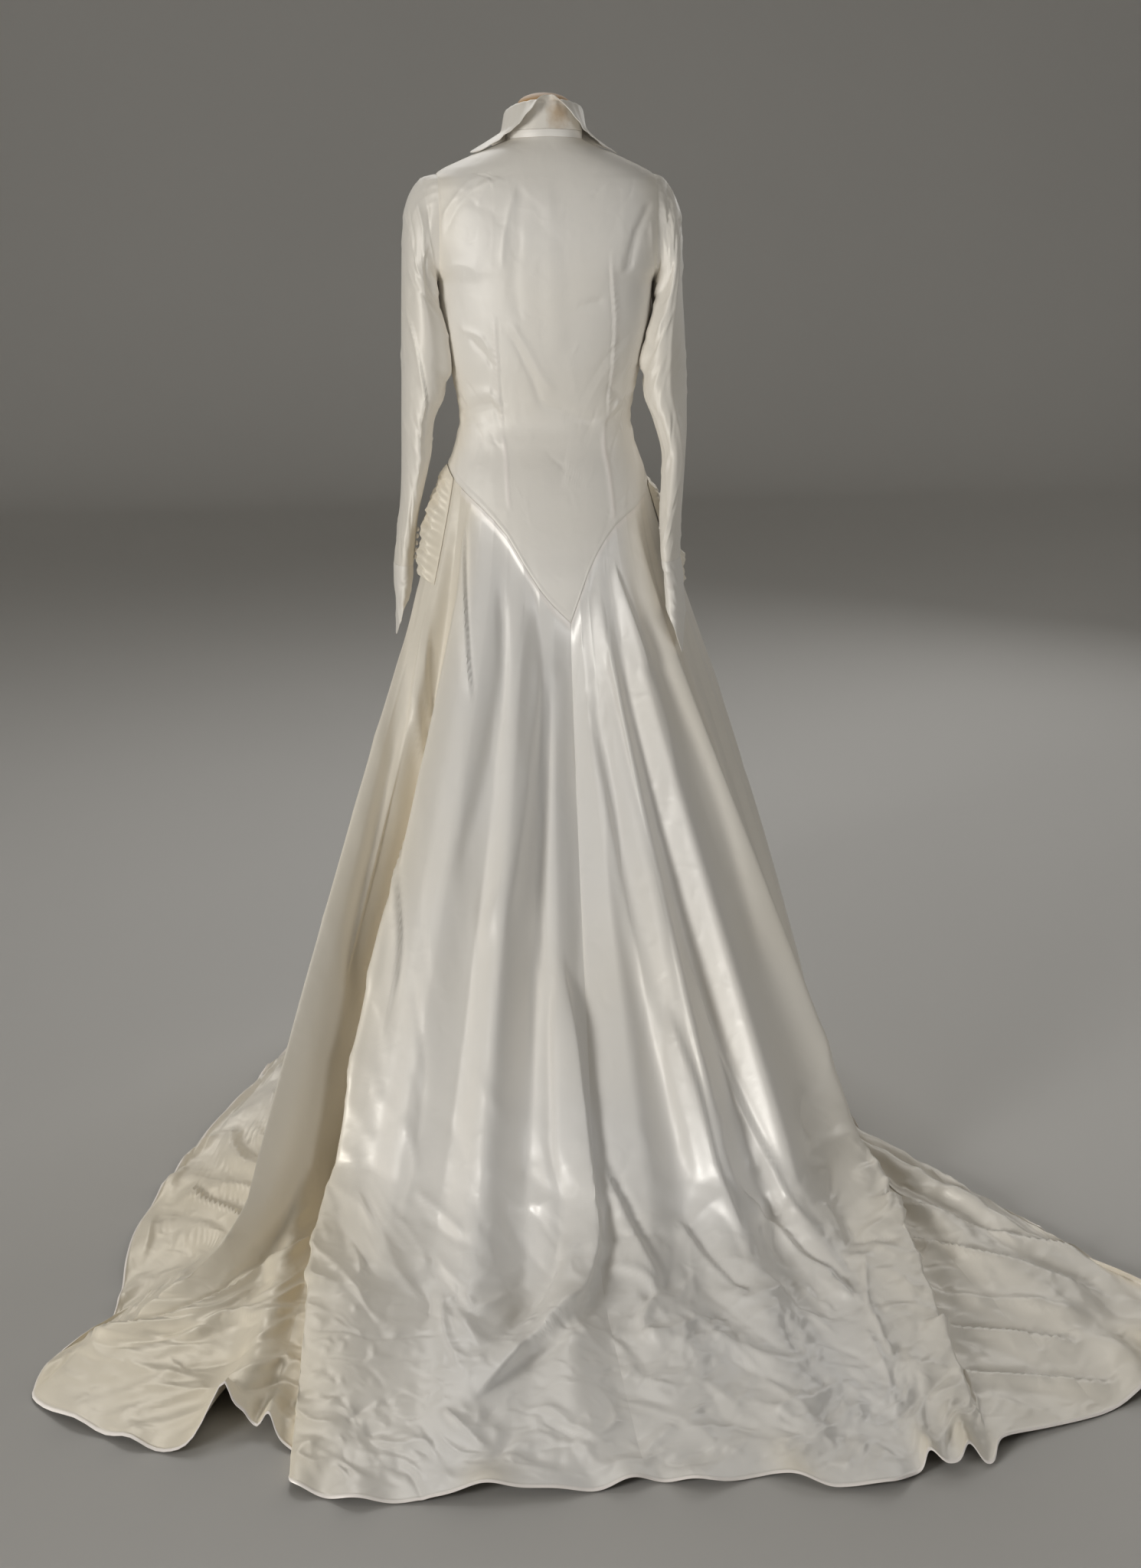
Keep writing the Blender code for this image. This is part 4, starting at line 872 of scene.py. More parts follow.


# Creases of the back: kind, width and height in mm, then angle and height above the floor
BACK_CREASES = (
    ("crease", 3.2, 2.4, ((36, 1.390), (44, 1.367), (58, 1.319), (69, 1.286))),
    ("crease", 3.6, -1.9, ((27, 1.392), (37, 1.367), (46, 1.341), (56, 1.303))),
    ("crease", 3.0, 1.8, ((22, 1.388), (30, 1.380), (39, 1.368), (48, 1.350))),
    ("crease", 3.4, 2.0, ((14, 1.378), (17, 1.347), (20, 1.303), (23, 1.255))),
    ("crease", 2.8, 1.5, ((25, 1.384), (30, 1.366), (34, 1.346))),
    ("ridge", 10.0, -1.6, ((12, 1.380), (13, 1.330), (16, 1.270))),
    ("crease", 5.0, -3.2, ((26, 1.182), (18, 1.146), (10, 1.099), (5, 1.065), (-5, 1.051), (-36, 1.039))),
    ("ridge", 7.0, 1.6, ((22, 1.190), (13, 1.150), (5, 1.105), (-2, 1.075))),
    ("crease", 4.5, -2.6, ((50, 1.162), (40, 1.139), (32, 1.117))),
    ("crease", 5.0, 2.0, ((57, 1.172), (41, 1.165), (32, 1.139))),
    ("ridge", 8.0, 3.0, ((72, 1.061), (50, 1.075), (30, 1.072))),
    ("crease", 5.0, -3.6, ((85, 1.035), (56, 1.051), (31, 1.058))),
    ("crease", 4.5, 1.8, ((84, 1.022), (66, 1.026), (44, 1.036))),
    ("crease", 4.5, -2.8, ((-36, 1.034), (-54, 1.030), (-72, 1.028))),
    ("crease", 4.0, -2.4, ((-32, 1.092), (-50, 1.066), (-74, 1.039))),
    ("ridge", 7.0, 2.2, ((-76, 1.085), (-58, 1.070), (-42, 1.056))),
    ("crease", 4.0, -1.6, ((-80, 1.130), (-66, 1.112), (-50, 1.106))),
    ("ridge", 9.0, -2.4, ((-51, 1.357), (-39, 1.303), (-39, 1.248))),
    ("crease", 4.5, 1.8, ((-50, 1.330), (-58, 1.270), (-70, 1.240))),
    ("crease", 4.0, 1.5, ((72, 1.248), (48, 1.265), (36, 1.260))),
    ("crease", 3.0, -1.0, ((-10, 1.206), (-16, 1.210), (-24, 1.213))),
    ("crease", 3.0, -0.9, ((4, 0.997), (-5, 0.964), (-14, 0.942))),
    ("ridge", 16.0, 1.6, ((2, 1.385), (0, 1.250), (-2, 1.120))),
    ("ridge", 14.0, -1.5, ((16, 1.330), (17, 1.250), (15, 1.180))),
)

# Darts of the back, from the top down: first the stitched fold, then the pale band under the waist
DART_FOLDS = (
    ((29, 1.198), (30, 1.117), (31, 1.060), (31, 1.022)),
    ((-39, 1.030), (-36, 1.103), (-32, 1.177), (-30, 1.227), (-24, 1.291)),
)
DART_BANDS = (
    ((31, 1.022), (26, 0.971), (22, 0.907)),
    ((-38, 1.039), (-34, 1.015), (-30, 0.945), (-30, 0.881)),
)
DART_FOLD_SIZES = (2.6, 1.5)
DART_BAND_SIZES = (5.0, 1.2)
DART_PUCKER_PITCH = 0.0085
DART_PUCKER_SHARE = 0.40
DART_PALENESS = {"over": 0.15, "ridge": 0.75}


def bodice_grid(span, front, columns, rows):
    """Smooth points of a bodice panel, from the neck down to the basque seam."""
    ends = fold_value("top", np.array(span, float))
    angles = np.linspace(ends[0], ends[1], columns)
    up, a = np.meshgrid(np.linspace(1, 0, rows), angles, indexing="ij")
    grid = bodice_point(a, up, front)
    low = seam_point(angles)
    low[:, 2] = low[:, 2] + SEAM / 2
    near = (1 - up[..., None]) ** 30
    return grid + (low - grid[-1])[None] * near, a, up


# Deepest crease over the form, in metres, which keeps the cloth clear of it
DEEPEST = 0.0020


def edge_sink(grid, sides=(True, True), ends=(True, True)):
    """How far the cloth dips along the edges where it is sewn."""
    sink = bpy.context.scene.dress_sizes.seam_sink
    across, down = grid_lengths(grid)
    total = across[:, -1:]
    fall = down[-1:]
    depth = np.zeros(grid.shape[:2])
    for on, gap in ((sides[0], across), (sides[1], total - across), (ends[0], down), (ends[1], fall - down)):
        if on:
            depth = np.maximum(depth, np.exp(-(gap / 0.0035) ** 2))
    return -sink * depth


class DRESS_OT_form(bpy.types.Operator):
    """Finish the form: a domed neck cap, and cloth, steel and lacquer on what is under the dress"""
    bl_idname = "dress.form"
    bl_label = "Form"

    def execute(self, context):
        low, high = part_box("form_cap")
        radius = (high[0] - low[0]) / 2
        nothing_selected()
        brim = 0.0037
        top = high[2] - low[2] - brim
        bpy.ops.mesh.primitive_uv_sphere_add(segments=64, ring_count=32, radius=radius)
        cap = context.object
        for v in cap.data.vertices:
            v.co.z = top * v.co.z / radius if v.co.z > 0 else max(v.co.z, -brim)
            v.co.z += high[2] - top
        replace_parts(finish_piece(cap, "form_neck_cap", form_cloth()), "form_cap")
        for node, finish in (("form_torso", form_cloth()), ("form_pole", painted_steel()),
                             ("form_base", lacquered_wood())):
            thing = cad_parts[node]
            for place in thing.material_slots:
                place.material = finish
        return {"FINISHED"}


class DRESS_OT_bodice(bpy.types.Operator):
    """Cut the back with its pointed basque and darts, and the two fronts"""
    bl_idname = "dress.bodice"
    bl_label = "Bodice"

    def execute(self, context):
        sizes = context.scene.dress_sizes
        draws = np.random.default_rng(sizes.seed + 11)
        for name, span, front, columns in (("bodice_back", BACK_SPAN, False, 160),
                                           ("bodice_front_left", LEFT_SPAN, True, 60),
                                           ("bodice_front_right", RIGHT_SPAN, True, 60)):
            grid, angle, up = bodice_grid(span, front, columns, 140 if front else 200)
            out = grid_normals(grid)
            u, v = grid_lengths(grid, columns // 2)
            height = np.zeros(u.shape)
            pale = np.zeros(u.shape)
            if not front:
                for kind, width, tall, path in BACK_CREASES:
                    at = np.array(path, float)
                    height += placed_crease(grid, u, v, body(at[:, 0], at[:, 1]), kind, width, tall)
                stitched = np.sin(2 * np.pi * v / DART_PUCKER_PITCH + 2.0 * np.sin(v / 0.013))
                for paths, kind, sizes_mm, share in ((DART_FOLDS, "over", DART_FOLD_SIZES, DART_PUCKER_SHARE),
                                                     (DART_BANDS, "ridge", DART_BAND_SIZES, 0.0)):
                    for path in paths:
                        at = np.array(path, float)
                        dart = placed_crease(grid, u, v, body(at[:, 0], at[:, 1]), kind, *sizes_mm)
                        height += dart * (1 + share * stitched)
                        pale = np.maximum(pale, 1000 * DART_PALENESS[kind] * dart / sizes_mm[1])
            everywhere = ((0, u.shape[0]), (0, u.shape[1]))
            height += random_creases(u, v, draws, 60, everywhere, (40, 140), (5, 10), (0.2, 0.8), 0.15, 0.35)
            height += random_creases(u, v, draws, 90, everywhere, (18, 60), (2.0, 4), (0.2, 0.9), 1.2, 0.6)
            side = np.minimum(np.abs(u - u[:, :1]), np.abs(u - u[:, -1:]))
            waist = np.exp(-((grid[..., 2] - 1.04) / 0.045) ** 2) * ramp(0.07 - side, 0, 0.05)
            height += 0.0007 * waist * np.sin(2 * np.pi * grid[..., 2] / 0.024 + 60 * side)
            held = ramp(side, 0, 0.012) * ramp(up, 0, 0.04) * ramp(1 - up, 0, 0.03)
            height = np.maximum(height, -DEEPEST)
            # The basque's turned and topstitched edge, 8 mm wide
            low = v[-1:] - v
            band = 0.0007 * ramp(low, 0.0005, 0.002) * ramp(0.0095 - low, 0, 0.0015)
            grid = grid + out * ((sizes.crease * height * held) + band + edge_sink(grid))[..., None]
            piece = cloth_piece(name, grid, satin("ivory_satin_bodice", 0.9, 0.0), crushed=0.35,
                                cream_and_shade=0.25 + 0.25 * ramp(0.06 - side, 0, 0.06), edge=np.clip(pale, 0, 1))
            declare_cloth(piece, grid)
        return {"FINISHED"}


class DRESS_OT_collar(bpy.types.Operator):
    """Set the collar: a narrow band round the neck and the leaf that stands and rolls over"""
    bl_idname = "dress.collar"
    bl_label = "Collar"

    def execute(self, context):
        angles = np.linspace(-COLLAR_END, COLLAR_END, 150)
        rise, a = np.meshgrid(np.linspace(STAND_HEIGHT, 0.0, 8), angles, indexing="ij")
        grid = neck_point(a) + np.stack([0 * rise, 0 * rise, rise], axis=-1)
        grid = grid + grid_normals(grid) * edge_sink(grid, (False, False))[..., None]
        band = cloth_piece("collar_stand", grid, satin("ivory_satin_bodice", 0.9, 0.0), crushed=0.3, cream_and_shade=0.2,
                           wall=0.0010)
        declare_cloth(band, grid)
        along, a = np.meshgrid(np.linspace(1, 0, 52), angles, indexing="ij")
        grid = collar_point(a, along)
        ripple = 0.0010 * np.sin(np.radians(a) * 9 + 2.0) * along ** 2
        ripple += 0.0006 * np.sin(np.radians(a) * 23) * along
        edge = grid_lengths(grid)[1]
        # Topstitching 5 mm in from the edge
        stitch = -0.0004 * np.exp(-((edge - 0.005) / 0.0011) ** 2)
        grid = grid + grid_normals(grid) * (ripple + stitch)[..., None]
        leaf = cloth_piece("collar_leaf", grid, satin("ivory_satin_collar", 0.5, 0.0, stained=True),
                           crushed=0.45, cream_and_shade=0.3, wall=0.0010)
        declare_cloth(leaf, grid)
        return {"FINISHED"}


# Creases of the sleeves: kind, width and height in mm, then turn round the arm and ring
SLEEVE_CREASES = {
    "left": (("ridge", 24.0, 4.0, ((180, 0.8), (180, 2.0), (180, 3.4), (180, 4.7))),
             ("ridge", 17.0, 11.0, ((150, 0.9), (142, 2.2), (140, 4.0), (142, 5.6), (150, 6.8))),
             ("over", 5.0, 3.4, ((24, 5.3), (58, 5.8), (80, 6.6), (93, 7.3), (92, 8.3), (95, 10.0))),
             ("crease", 5.0, -2.6, ((35, 5.2), (80, 4.6), (126, 3.6))),
             ("crease", 4.5, 2.4, ((39, 1.7), (75, 1.8), (103, 2.8))),
             ("crease", 4.5, -2.4, ((28, 2.6), (59, 3.2), (60, 4.2))),
             ("crease", 4.0, 1.8, ((78, 10.4), (74, 11.2), (67, 12.0))),
             ("crease", 4.0, -2.0, ((95, 2.0), (125, 3.4), (150, 4.0))),
             ("crease", 4.0, -2.0, ((50, 7.6), (90, 8.3), (140, 8.4))),
             ("crease", 4.0, 2.0, ((60, 8.6), (100, 9.0), (150, 8.6))),
             ("crease", 3.5, -1.6, ((50, 9.4), (80, 10.2), (95, 11.2))),
             ("crease", 3.0, 1.2, ((40, 1.4), (44, 2.4), (40, 3.6))),
             ("crease", 4.0, 2.0, ((230, 5.0), (265, 6.5), (300, 7.6))),
             ("crease", 4.0, -2.0, ((220, 7.0), (265, 7.8), (315, 8.2))),
             ("over", 5.0, 2.6, ((280, 2.4), (276, 5.4), (270, 9.0)))),
    "right": (("ridge", 24.0, 4.0, ((180, 0.8), (180, 2.0), (180, 3.4), (180, 4.7))),
              ("ridge", 17.0, 10.0, ((150, 0.9), (142, 2.2), (140, 4.0), (142, 5.4), (150, 6.4))),
              ("over", 5.0, -3.6, ((150, 1.5), (155, 3.2), (160, 5.0), (141, 7.7), (146, 9.1), (107, 10.7))),
              ("crease", 4.5, 2.2, ((178, 6.4), (162, 7.0), (142, 7.8))),
              ("crease", 4.5, -2.2, ((128, 7.2), (121, 8.2), (115, 9.5))),
              ("ridge", 7.0, 2.4, ((58, 3.0), (66, 5.6), (58, 8.0), (52, 10.4))),
              ("crease", 4.5, 2.2, ((150, 3.0), (125, 4.4), (100, 5.2))),
              ("crease", 4.5, -2.4, ((160, 4.6), (130, 5.4), (104, 5.8))),
              ("crease", 4.5, 2.2, ((165, 5.8), (135, 6.2), (100, 6.4))),
              ("crease", 4.0, -2.0, ((150, 7.0), (120, 7.0), (90, 7.2))),
              ("crease", 4.0, -1.8, ((60, 10.2), (100, 10.6), (140, 10.2))),
              ("crease", 3.5, 1.6, ((70, 10.8), (100, 11.4), (130, 11.6))),
              ("crease", 3.0, -1.2, ((98, 1.4), (110, 2.4), (112, 3.4))),
              ("crease", 4.0, 2.0, ((230, 5.0), (265, 6.5), (300, 7.6))),
              ("crease", 4.0, -2.0, ((220, 7.0), (265, 7.8), (315, 8.2))),
              ("over", 5.0, 2.6, ((280, 2.4), (276, 5.4), (270, 9.0)))),
}


class DRESS_OT_sleeves(bpy.types.Operator):
    """Set in the long sleeves, with their eased caps and creases"""
    bl_idname = "dress.sleeves"
    bl_label = "Sleeves"

    def execute(self, context):
        sizes = context.scene.dress_sizes
        draws = np.random.default_rng(sizes.seed + 23)
        for label, table, side in (("left", SLEEVE_LEFT, 1), ("right", SLEEVE_RIGHT, -1)):
            turn = np.linspace(0, 2 * np.pi, 97)
            turn = turn[::-1] if side > 0 else turn
            ring, phi = np.meshgrid(np.linspace(0, SLEEVE_RINGS, 150), turn, indexing="ij")
            grid = sleeve_point(table, side, phi, ring)
            grid[:, -1] = grid[:, 0]
            # The sleeve's edge is drawn right up to the armhole
            grid[..., 0] -= side * SLEEVE_REACH * np.exp(-(ring / 0.35) ** 2)
            out = grid_normals(grid)
            out[:, 0] = out[:, 0] + out[:, -1]
            out[:, 0] /= np.maximum(np.linalg.norm(out[:, 0], axis=-1, keepdims=True), 1e-9)
            out[:, -1] = out[:, 0]
            u, v = grid_lengths(grid, 48)
            height = np.zeros(u.shape)
            for kind, width, tall, path in SLEEVE_CREASES[label]:
                at = np.array(path, float)
                points = sleeve_point(table, side, np.radians(at[:, 0]), at[:, 1])
                height += placed_crease(grid, u, v, points, kind, width, tall)
            everywhere = ((6, u.shape[0]), (0, u.shape[1]))
            wrap = random_creases(u, v, draws, 170, everywhere, (16, 60), (2.0, 4.5), (0.6, 2.2), 0.9, 0.6)
            height += wrap * ramp(np.minimum(u - u.min(axis=1, keepdims=True),
                                             u.max(axis=1, keepdims=True) - u), 0, 0.012)
            # Ease puckers round the sleeve cap, 6 to 9 mm apart
            pucker = np.sin(phi * 34 + 1.6 * np.sin(phi * 5)) * np.exp(-v / 0.022) * ramp(np.cos(phi), -0.4, 0.5)
            height = height * ramp(ring, 0.1, 1.2) + 0.0012 * pucker * ramp(v, 0, 0.006)
            height = height * ramp(SLEEVE_RINGS - ring, 0, 0.5)
            height += edge_sink(grid, (False, False))
            grid = grid + out * (sizes.crease * height)[..., None]
            piece = cloth_piece(f"sleeve_{label}", grid, satin("ivory_satin_bodice", 0.9, 0.0), closed=True,
                                crushed=0.6, cream_and_shade=0.40)
            declare_cloth(piece, grid, closed=True)
        return {"FINISHED"}


class DRESS_OT_cuffs(bpy.types.Operator):
    """Add the pointed cuffs"""
    bl_idname = "dress.cuffs"
    bl_label = "Cuffs"

    def execute(self, context):
        sizes = context.scene.dress_sizes
        draws = np.random.default_rng(sizes.seed + 31)
        for label, table, sleeve, side in (("left", CUFF_LEFT, SLEEVE_LEFT, 1),
                                           ("right", CUFF_RIGHT, SLEEVE_RIGHT, -1)):
            turn = np.linspace(0, 2 * np.pi, 65)
            turn = turn[::-1] if side > 0 else turn
            down, phi = np.meshgrid(np.linspace(0, 1, 44), turn, indexing="ij")
            top_z = sleeve[-1][SLEEVE_COLUMNS.index("out_z")]
            grid = cuff_point(table, side, top_z, phi, down)
            grid[:, -1] = grid[:, 0]
            out = grid_normals(grid)
            out[:, -1] = out[:, 0]
            u, v = grid_lengths(grid, 32)
            everywhere = ((3, u.shape[0]), (0, u.shape[1]))
            height = random_creases(u, v, draws, 45, everywhere, (20, 60), (2.5, 5), (0.5, 1.8), -0.8, 0.5)
            height *= ramp(np.minimum(u - u.min(axis=1, keepdims=True),
                                      u.max(axis=1, keepdims=True) - u), 0, 0.01)
            height *= ramp(down, 0, 0.1)
            grid = grid + out * (sizes.crease * height + edge_sink(grid, (False, False), (True, False)))[..., None]
            piece = cloth_piece(f"cuff_{label}", grid, satin("ivory_satin_bodice", 0.9, 0.0), closed=True,
                                crushed=0.6, cream_and_shade=0.25)
            declare_cloth(piece, grid, closed=True)
        return {"FINISHED"}


# Columns per line in each stretch of the skirt
SKIRT_STRETCHES = ((4, 13, 9), (13, 31, 19), (31, 41, 9), (41, 49, 6))

# Folds of the skirt: kind, width and height in mm, then line and share of the way down
SKIRT_CREASES = (
    # The two bright bands that run down from the basque's point, and the dark ones beside them
    ("ridge", 16.0, 6.0, ((23.8, 0.06), (24.5, 0.21), (25.0, 0.31), (25.8, 0.37))),
    ("ridge", 12.0, -5.0, ((23.0, 0.08), (23.5, 0.20), (23.8, 0.31), (23.7, 0.38))),
    ("ridge", 12.0, -5.0, ((26.4, 0.05), (25.9, 0.15), (26.2, 0.24), (26.8, 0.33))),
    ("ridge", 15.0, 6.0, ((21.2, 0.12), (20.4, 0.26), (20.3, 0.32), (19.9, 0.40), (19.6, 0.50), (19.6, 0.62))),
    ("ridge", 11.0, -5.0, ((19.6, 0.08), (19.1, 0.22), (19.0, 0.33), (19.1, 0.42), (18.9, 0.52))),
    ("over", 9.0, 6.0, ((19.5, 0.40), (19.2, 0.47), (19.1, 0.55), (18.9, 0.62))),
    ("over", 9.0, 6.0, ((18.2, 0.38), (17.8, 0.50), (17.4, 0.57), (16.9, 0.66))),
    ("ridge", 12.0, -4.0, ((16.5, 0.06), (15.8, 0.18), (15.6, 0.30), (15.9, 0.42))),
    ("over", 6.0, 4.0, ((17.6, 0.04), (17.0, 0.10), (16.6, 0.17))),
    # The roll that lies over the centre back seam and turns away to the left on the floor
    ("over", 14.0, 18.0, ((22.9, 0.34), (22.5, 0.42), (22.1, 0.53), (22.0, 0.60), (22.4, 0.66), (23.1, 0.725),
                          (23.7, 0.78), (24.4, 0.823), (25.0, 0.86))),
    ("ridge", 13.0, -7.0, ((23.2, 0.34), (23.4, 0.43), (23.4, 0.51), (23.0, 0.56), (23.2, 0.63), (23.9, 0.72),
                           (24.6, 0.78))),
    ("over", 9.0, 8.0, ((21.9, 0.52), (21.4, 0.58), (21.1, 0.642), (20.9, 0.68))),
    ("crease", 9.0, 8.0, ((22.1, 0.633), (21.5, 0.642), (21.1, 0.680), (21.5, 0.730), (21.2, 0.780))),
    ("over", 8.0, 5.0, ((20.3, 0.60), (19.8, 0.66), (19.2, 0.72))),
    ("crease", 9.0, 5.0, ((19.5, 0.633), (18.5, 0.73), (17.5, 0.818))),
    ("crease", 8.0, 5.0, ((20.8, 0.698), (20.0, 0.79), (19.5, 0.853), (18.7, 0.917))),
    ("crease", 8.0, -4.0, ((20.2, 0.68), (19.2, 0.79), (18.2, 0.88))),
    ("over", 9.0, 8.0, ((18.7, 0.565), (17.9, 0.640), (17.5, 0.680), (17.1, 0.718), (16.8, 0.77))),
    ("ridge", 13.0, 6.0, ((17.6, 0.54), (17.1, 0.657), (16.7, 0.733))),
    ("crease", 7.0, 5.0, ((15.8, 0.505), (16.3, 0.53), (16.0, 0.562))),
    ("crease", 7.0, -4.0, ((16.4, 0.56), (15.9, 0.60), (16.2, 0.64))),
    ("crease", 8.0, 5.0, ((16.0, 0.745), (16.5, 0.805), (16.4, 0.88))),
    ("crease", 7.0, 4.0, ((16.9, 0.80), (16.8, 0.87), (17.1, 0.94))),
    # The tuck at the left hip and the narrow roll between the side and back gores
    ("over", 5.0, 5.0, ((29.6, 0.03), (28.6, 0.113), (27.7, 0.16), (27.1, 0.198))),
    ("ridge", 9.0, 7.0, ((33.3, 0.10), (32.8, 0.16), (32.0, 0.223), (30.4, 0.285), (29.2, 0.36), (29.1, 0.44),
                         (29.1, 0.54))),
    ("ridge", 13.0, -8.0, ((34.4, 0.13), (33.8, 0.217), (33.0, 0.288), (32.4, 0.345), (32.0, 0.42), (31.6, 0.505))),
    ("over", 6.0, 5.0, ((32.3, 0.14), (31.2, 0.23), (29.4, 0.31), (28.5, 0.37), (28.3, 0.45))),
    ("crease", 5.0, 3.0, ((30.2, 0.36), (29.3, 0.39), (28.9, 0.42))),
    ("crease", 5.0, 3.0, ((29.9, 0.44), (29.2, 0.47), (28.8, 0.50))),
    ("crease", 6.0, -3.0, ((27.8, 0.40), (26.8, 0.465), (26.7, 0.53))),
    ("crease", 6.0, 3.0, ((27.3, 0.50), (26.6, 0.55), (26.8, 0.60))),
    ("crease", 5.0, 2.5, ((29.0, 0.545), (28.5, 0.55), (28.2, 0.565))),
    ("crease", 7.0, 4.0, ((26.6, 0.57), (26.0, 0.59), (25.3, 0.60))),
    ("crease", 6.0, -3.0, ((26.4, 0.60), (25.8, 0.615), (25.0, 0.61))),
    ("crease", 7.0, 4.0, ((25.2, 0.67), (24.9, 0.70), (24.3, 0.69))),
    ("crease", 3.0, -1.4, ((28.9, 0.825), (27.2, 0.792), (25.2, 0.743))),
    ("crease", 7.0, 4.0, ((26.9, 0.927), (26.2, 0.93), (25.5, 0.925))),
    ("crease", 7.0, 5.0, ((25.4, 0.87), (24.9, 0.91), (24.6, 0.943))),
    ("crease", 2.5, -1.2, ((21.2, 0.143), (20.8, 0.165), (20.3, 0.188))),
    ("crease", 2.5, -1.0, ((25.3, 0.385), (24.8, 0.375), (24.2, 0.365))),
    # The left lobe on the floor
    ("over", 12.0, 9.0, ((36.2, 0.93), (35.4, 0.885), (34.4, 0.78), (33.7, 0.715), (31.0, 0.73))),
    ("crease", 10.0, 8.0, ((33.9, 0.805), (33.4, 0.787), (31.2, 0.845))),
    ("crease", 9.0, 6.0, ((34.6, 0.88), (34.1, 0.83), (33.5, 0.82))),
    ("crease", 9.0, 7.0, ((32.6, 0.94), (31.8, 0.93), (30.7, 0.907))),
    ("over", 9.0, 7.0, ((38.6, 0.92), (38.0, 0.84), (37.0, 0.76), (36.0, 0.70))),
    ("crease", 9.0, 6.0, ((39.6, 0.90), (39.0, 0.82), (38.2, 0.76))),
    # The right lobe on the floor
    ("over", 12.0, 12.0, ((15.7, 0.657), (14.4, 0.73), (12.9, 0.795), (11.6, 0.86), (10.8, 0.935))),
    ("over", 10.0, 10.0, ((15.6, 0.848), (14.2, 0.875), (13.2, 0.897), (12.3, 0.943))),
    ("over", 9.0, 8.0, ((14.4, 0.925), (13.9, 0.932), (13.3, 0.948), (12.6, 0.985))),
    ("crease", 12.0, 9.0, ((14.6, 0.78), (13.6, 0.84), (12.6, 0.88), (11.8, 0.93))),
    ("over", 9.0, 8.0, ((12.6, 0.70), (11.4, 0.78), (10.2, 0.86), (9.4, 0.93))),
    ("crease", 10.0, 7.0, ((10.8, 0.70), (9.8, 0.80), (8.8, 0.90))),
)

# Random creases of the skirt: how many, the lines and shares of the way down they lie in, length, width
# and height in mm, turn from straight down and its spread, and the share that stand up
CRUMPLES = (
    ("long pulls", 80, (4, 49), (0.05, 0.50), (150, 400), (8, 16), (0.5, 2.2), 0.0, 0.08, 0.5),
    ("press marks", 190, (4, 49), (0.03, 0.58), (16, 80), (2.0, 4.5), (0.2, 0.8), 0.7, 0.7, 0.5),
    ("first breaks", 60, (13.5, 31), (0.46, 0.62), (40, 130), (7, 13), (0.8, 3.0), -0.7, 0.6, 0.6),
    ("breaks", 80, (13.5, 31), (0.58, 0.76), (50, 160), (7, 14), (1.5, 6.0), -0.9, 0.5, 0.6),
    ("right streaks", 120, (14, 22), (0.66, 0.94), (50, 180), (6, 12), (1.5, 5.5), -0.6, 0.3, 0.6),
    ("left streaks", 36, (22, 30), (0.62, 0.95), (40, 140), (6, 12), (1.0, 3.5), 0.8, 0.6, 0.6),
    ("hem crinkles", 150, (13.5, 31), (0.88, 0.98), (22, 80), (4, 9), (1.0, 4.0), 1.2, 0.5, 0.6),
    ("right small", 420, (13.5, 22), (0.62, 0.98), (12, 45), (3, 6), (0.4, 2.0), -0.6, 0.9, 0.55),
    ("left small", 200, (22, 31), (0.60, 0.98), (12, 45), (3, 6), (0.3, 1.5), 0.7, 1.2, 0.55),
    ("gathers", 46, (14.2, 15.5), (0.53, 0.72), (20, 55), (4, 7), (1.5, 4.5), 1.5, 0.25, 0.6),
    ("right lobe", 110, (4, 14), (0.62, 0.98), (50, 190), (7, 14), (2.0, 6.5), -0.4, 0.5, 0.6),
    ("right lobe small", 200, (4, 14), (0.60, 0.98), (16, 60), (4, 7), (0.5, 2.2), -0.4, 0.9, 0.55),
    ("left lobe", 120, (30, 41), (0.62, 0.98), (50, 170), (7, 14), (2.0, 6.5), 1.0, 0.5, 0.6),
    ("left lobe small", 200, (30, 41), (0.60, 0.98), (16, 60), (4, 7), (0.5, 2.2), 1.0, 0.9, 0.55),
    ("front", 60, (41, 49), (0.56, 0.98), (40, 120), (9, 14), (1.0, 3.0), 1.2, 0.6, 0.6),
)

# Curls of the hem: line, lines across, lift and pull back in mm
CURLS = (
    (32.4, 0.28, 26, 34),
    (30.9, 0.24, 16, 20),
    (35.6, 0.45, 10, 6),
    (16.6, 0.30, 13, 18),
    (15.5, 0.26, 15, 20),
    (11.5, 0.60, 10, 5),
    (24.6, 0.40, 8, 4),
    (19.5, 0.35, 7, 3),
    (9.0, 0.50, 12, 5),
)


def skirt_grid():
    """Smooth points of the whole skirt, from the basque seam to the hem, and their lines and shares."""
    lines = np.concatenate([np.linspace(first, last, (last - first) * dense + 1)[:-1]
                            for first, last, dense in SKIRT_STRETCHES] + [[SKIRT_STRETCHES[-1][1]]])
    floor = UPPER_SHARE + BEND_SHARE
    shares = np.concatenate([np.linspace(0, 0.008, 4)[:-1], np.linspace(0.008, UPPER_SHARE, 98)[:-1],
                             np.linspace(UPPER_SHARE, floor, 38)[:-1], np.linspace(floor, 0.9935, 110)[:-1],
                             np.linspace(0.9935, 1, 8)])
    down, line = np.meshgrid(shares, lines, indexing="ij")
    return skirt_point(line, down), line, down


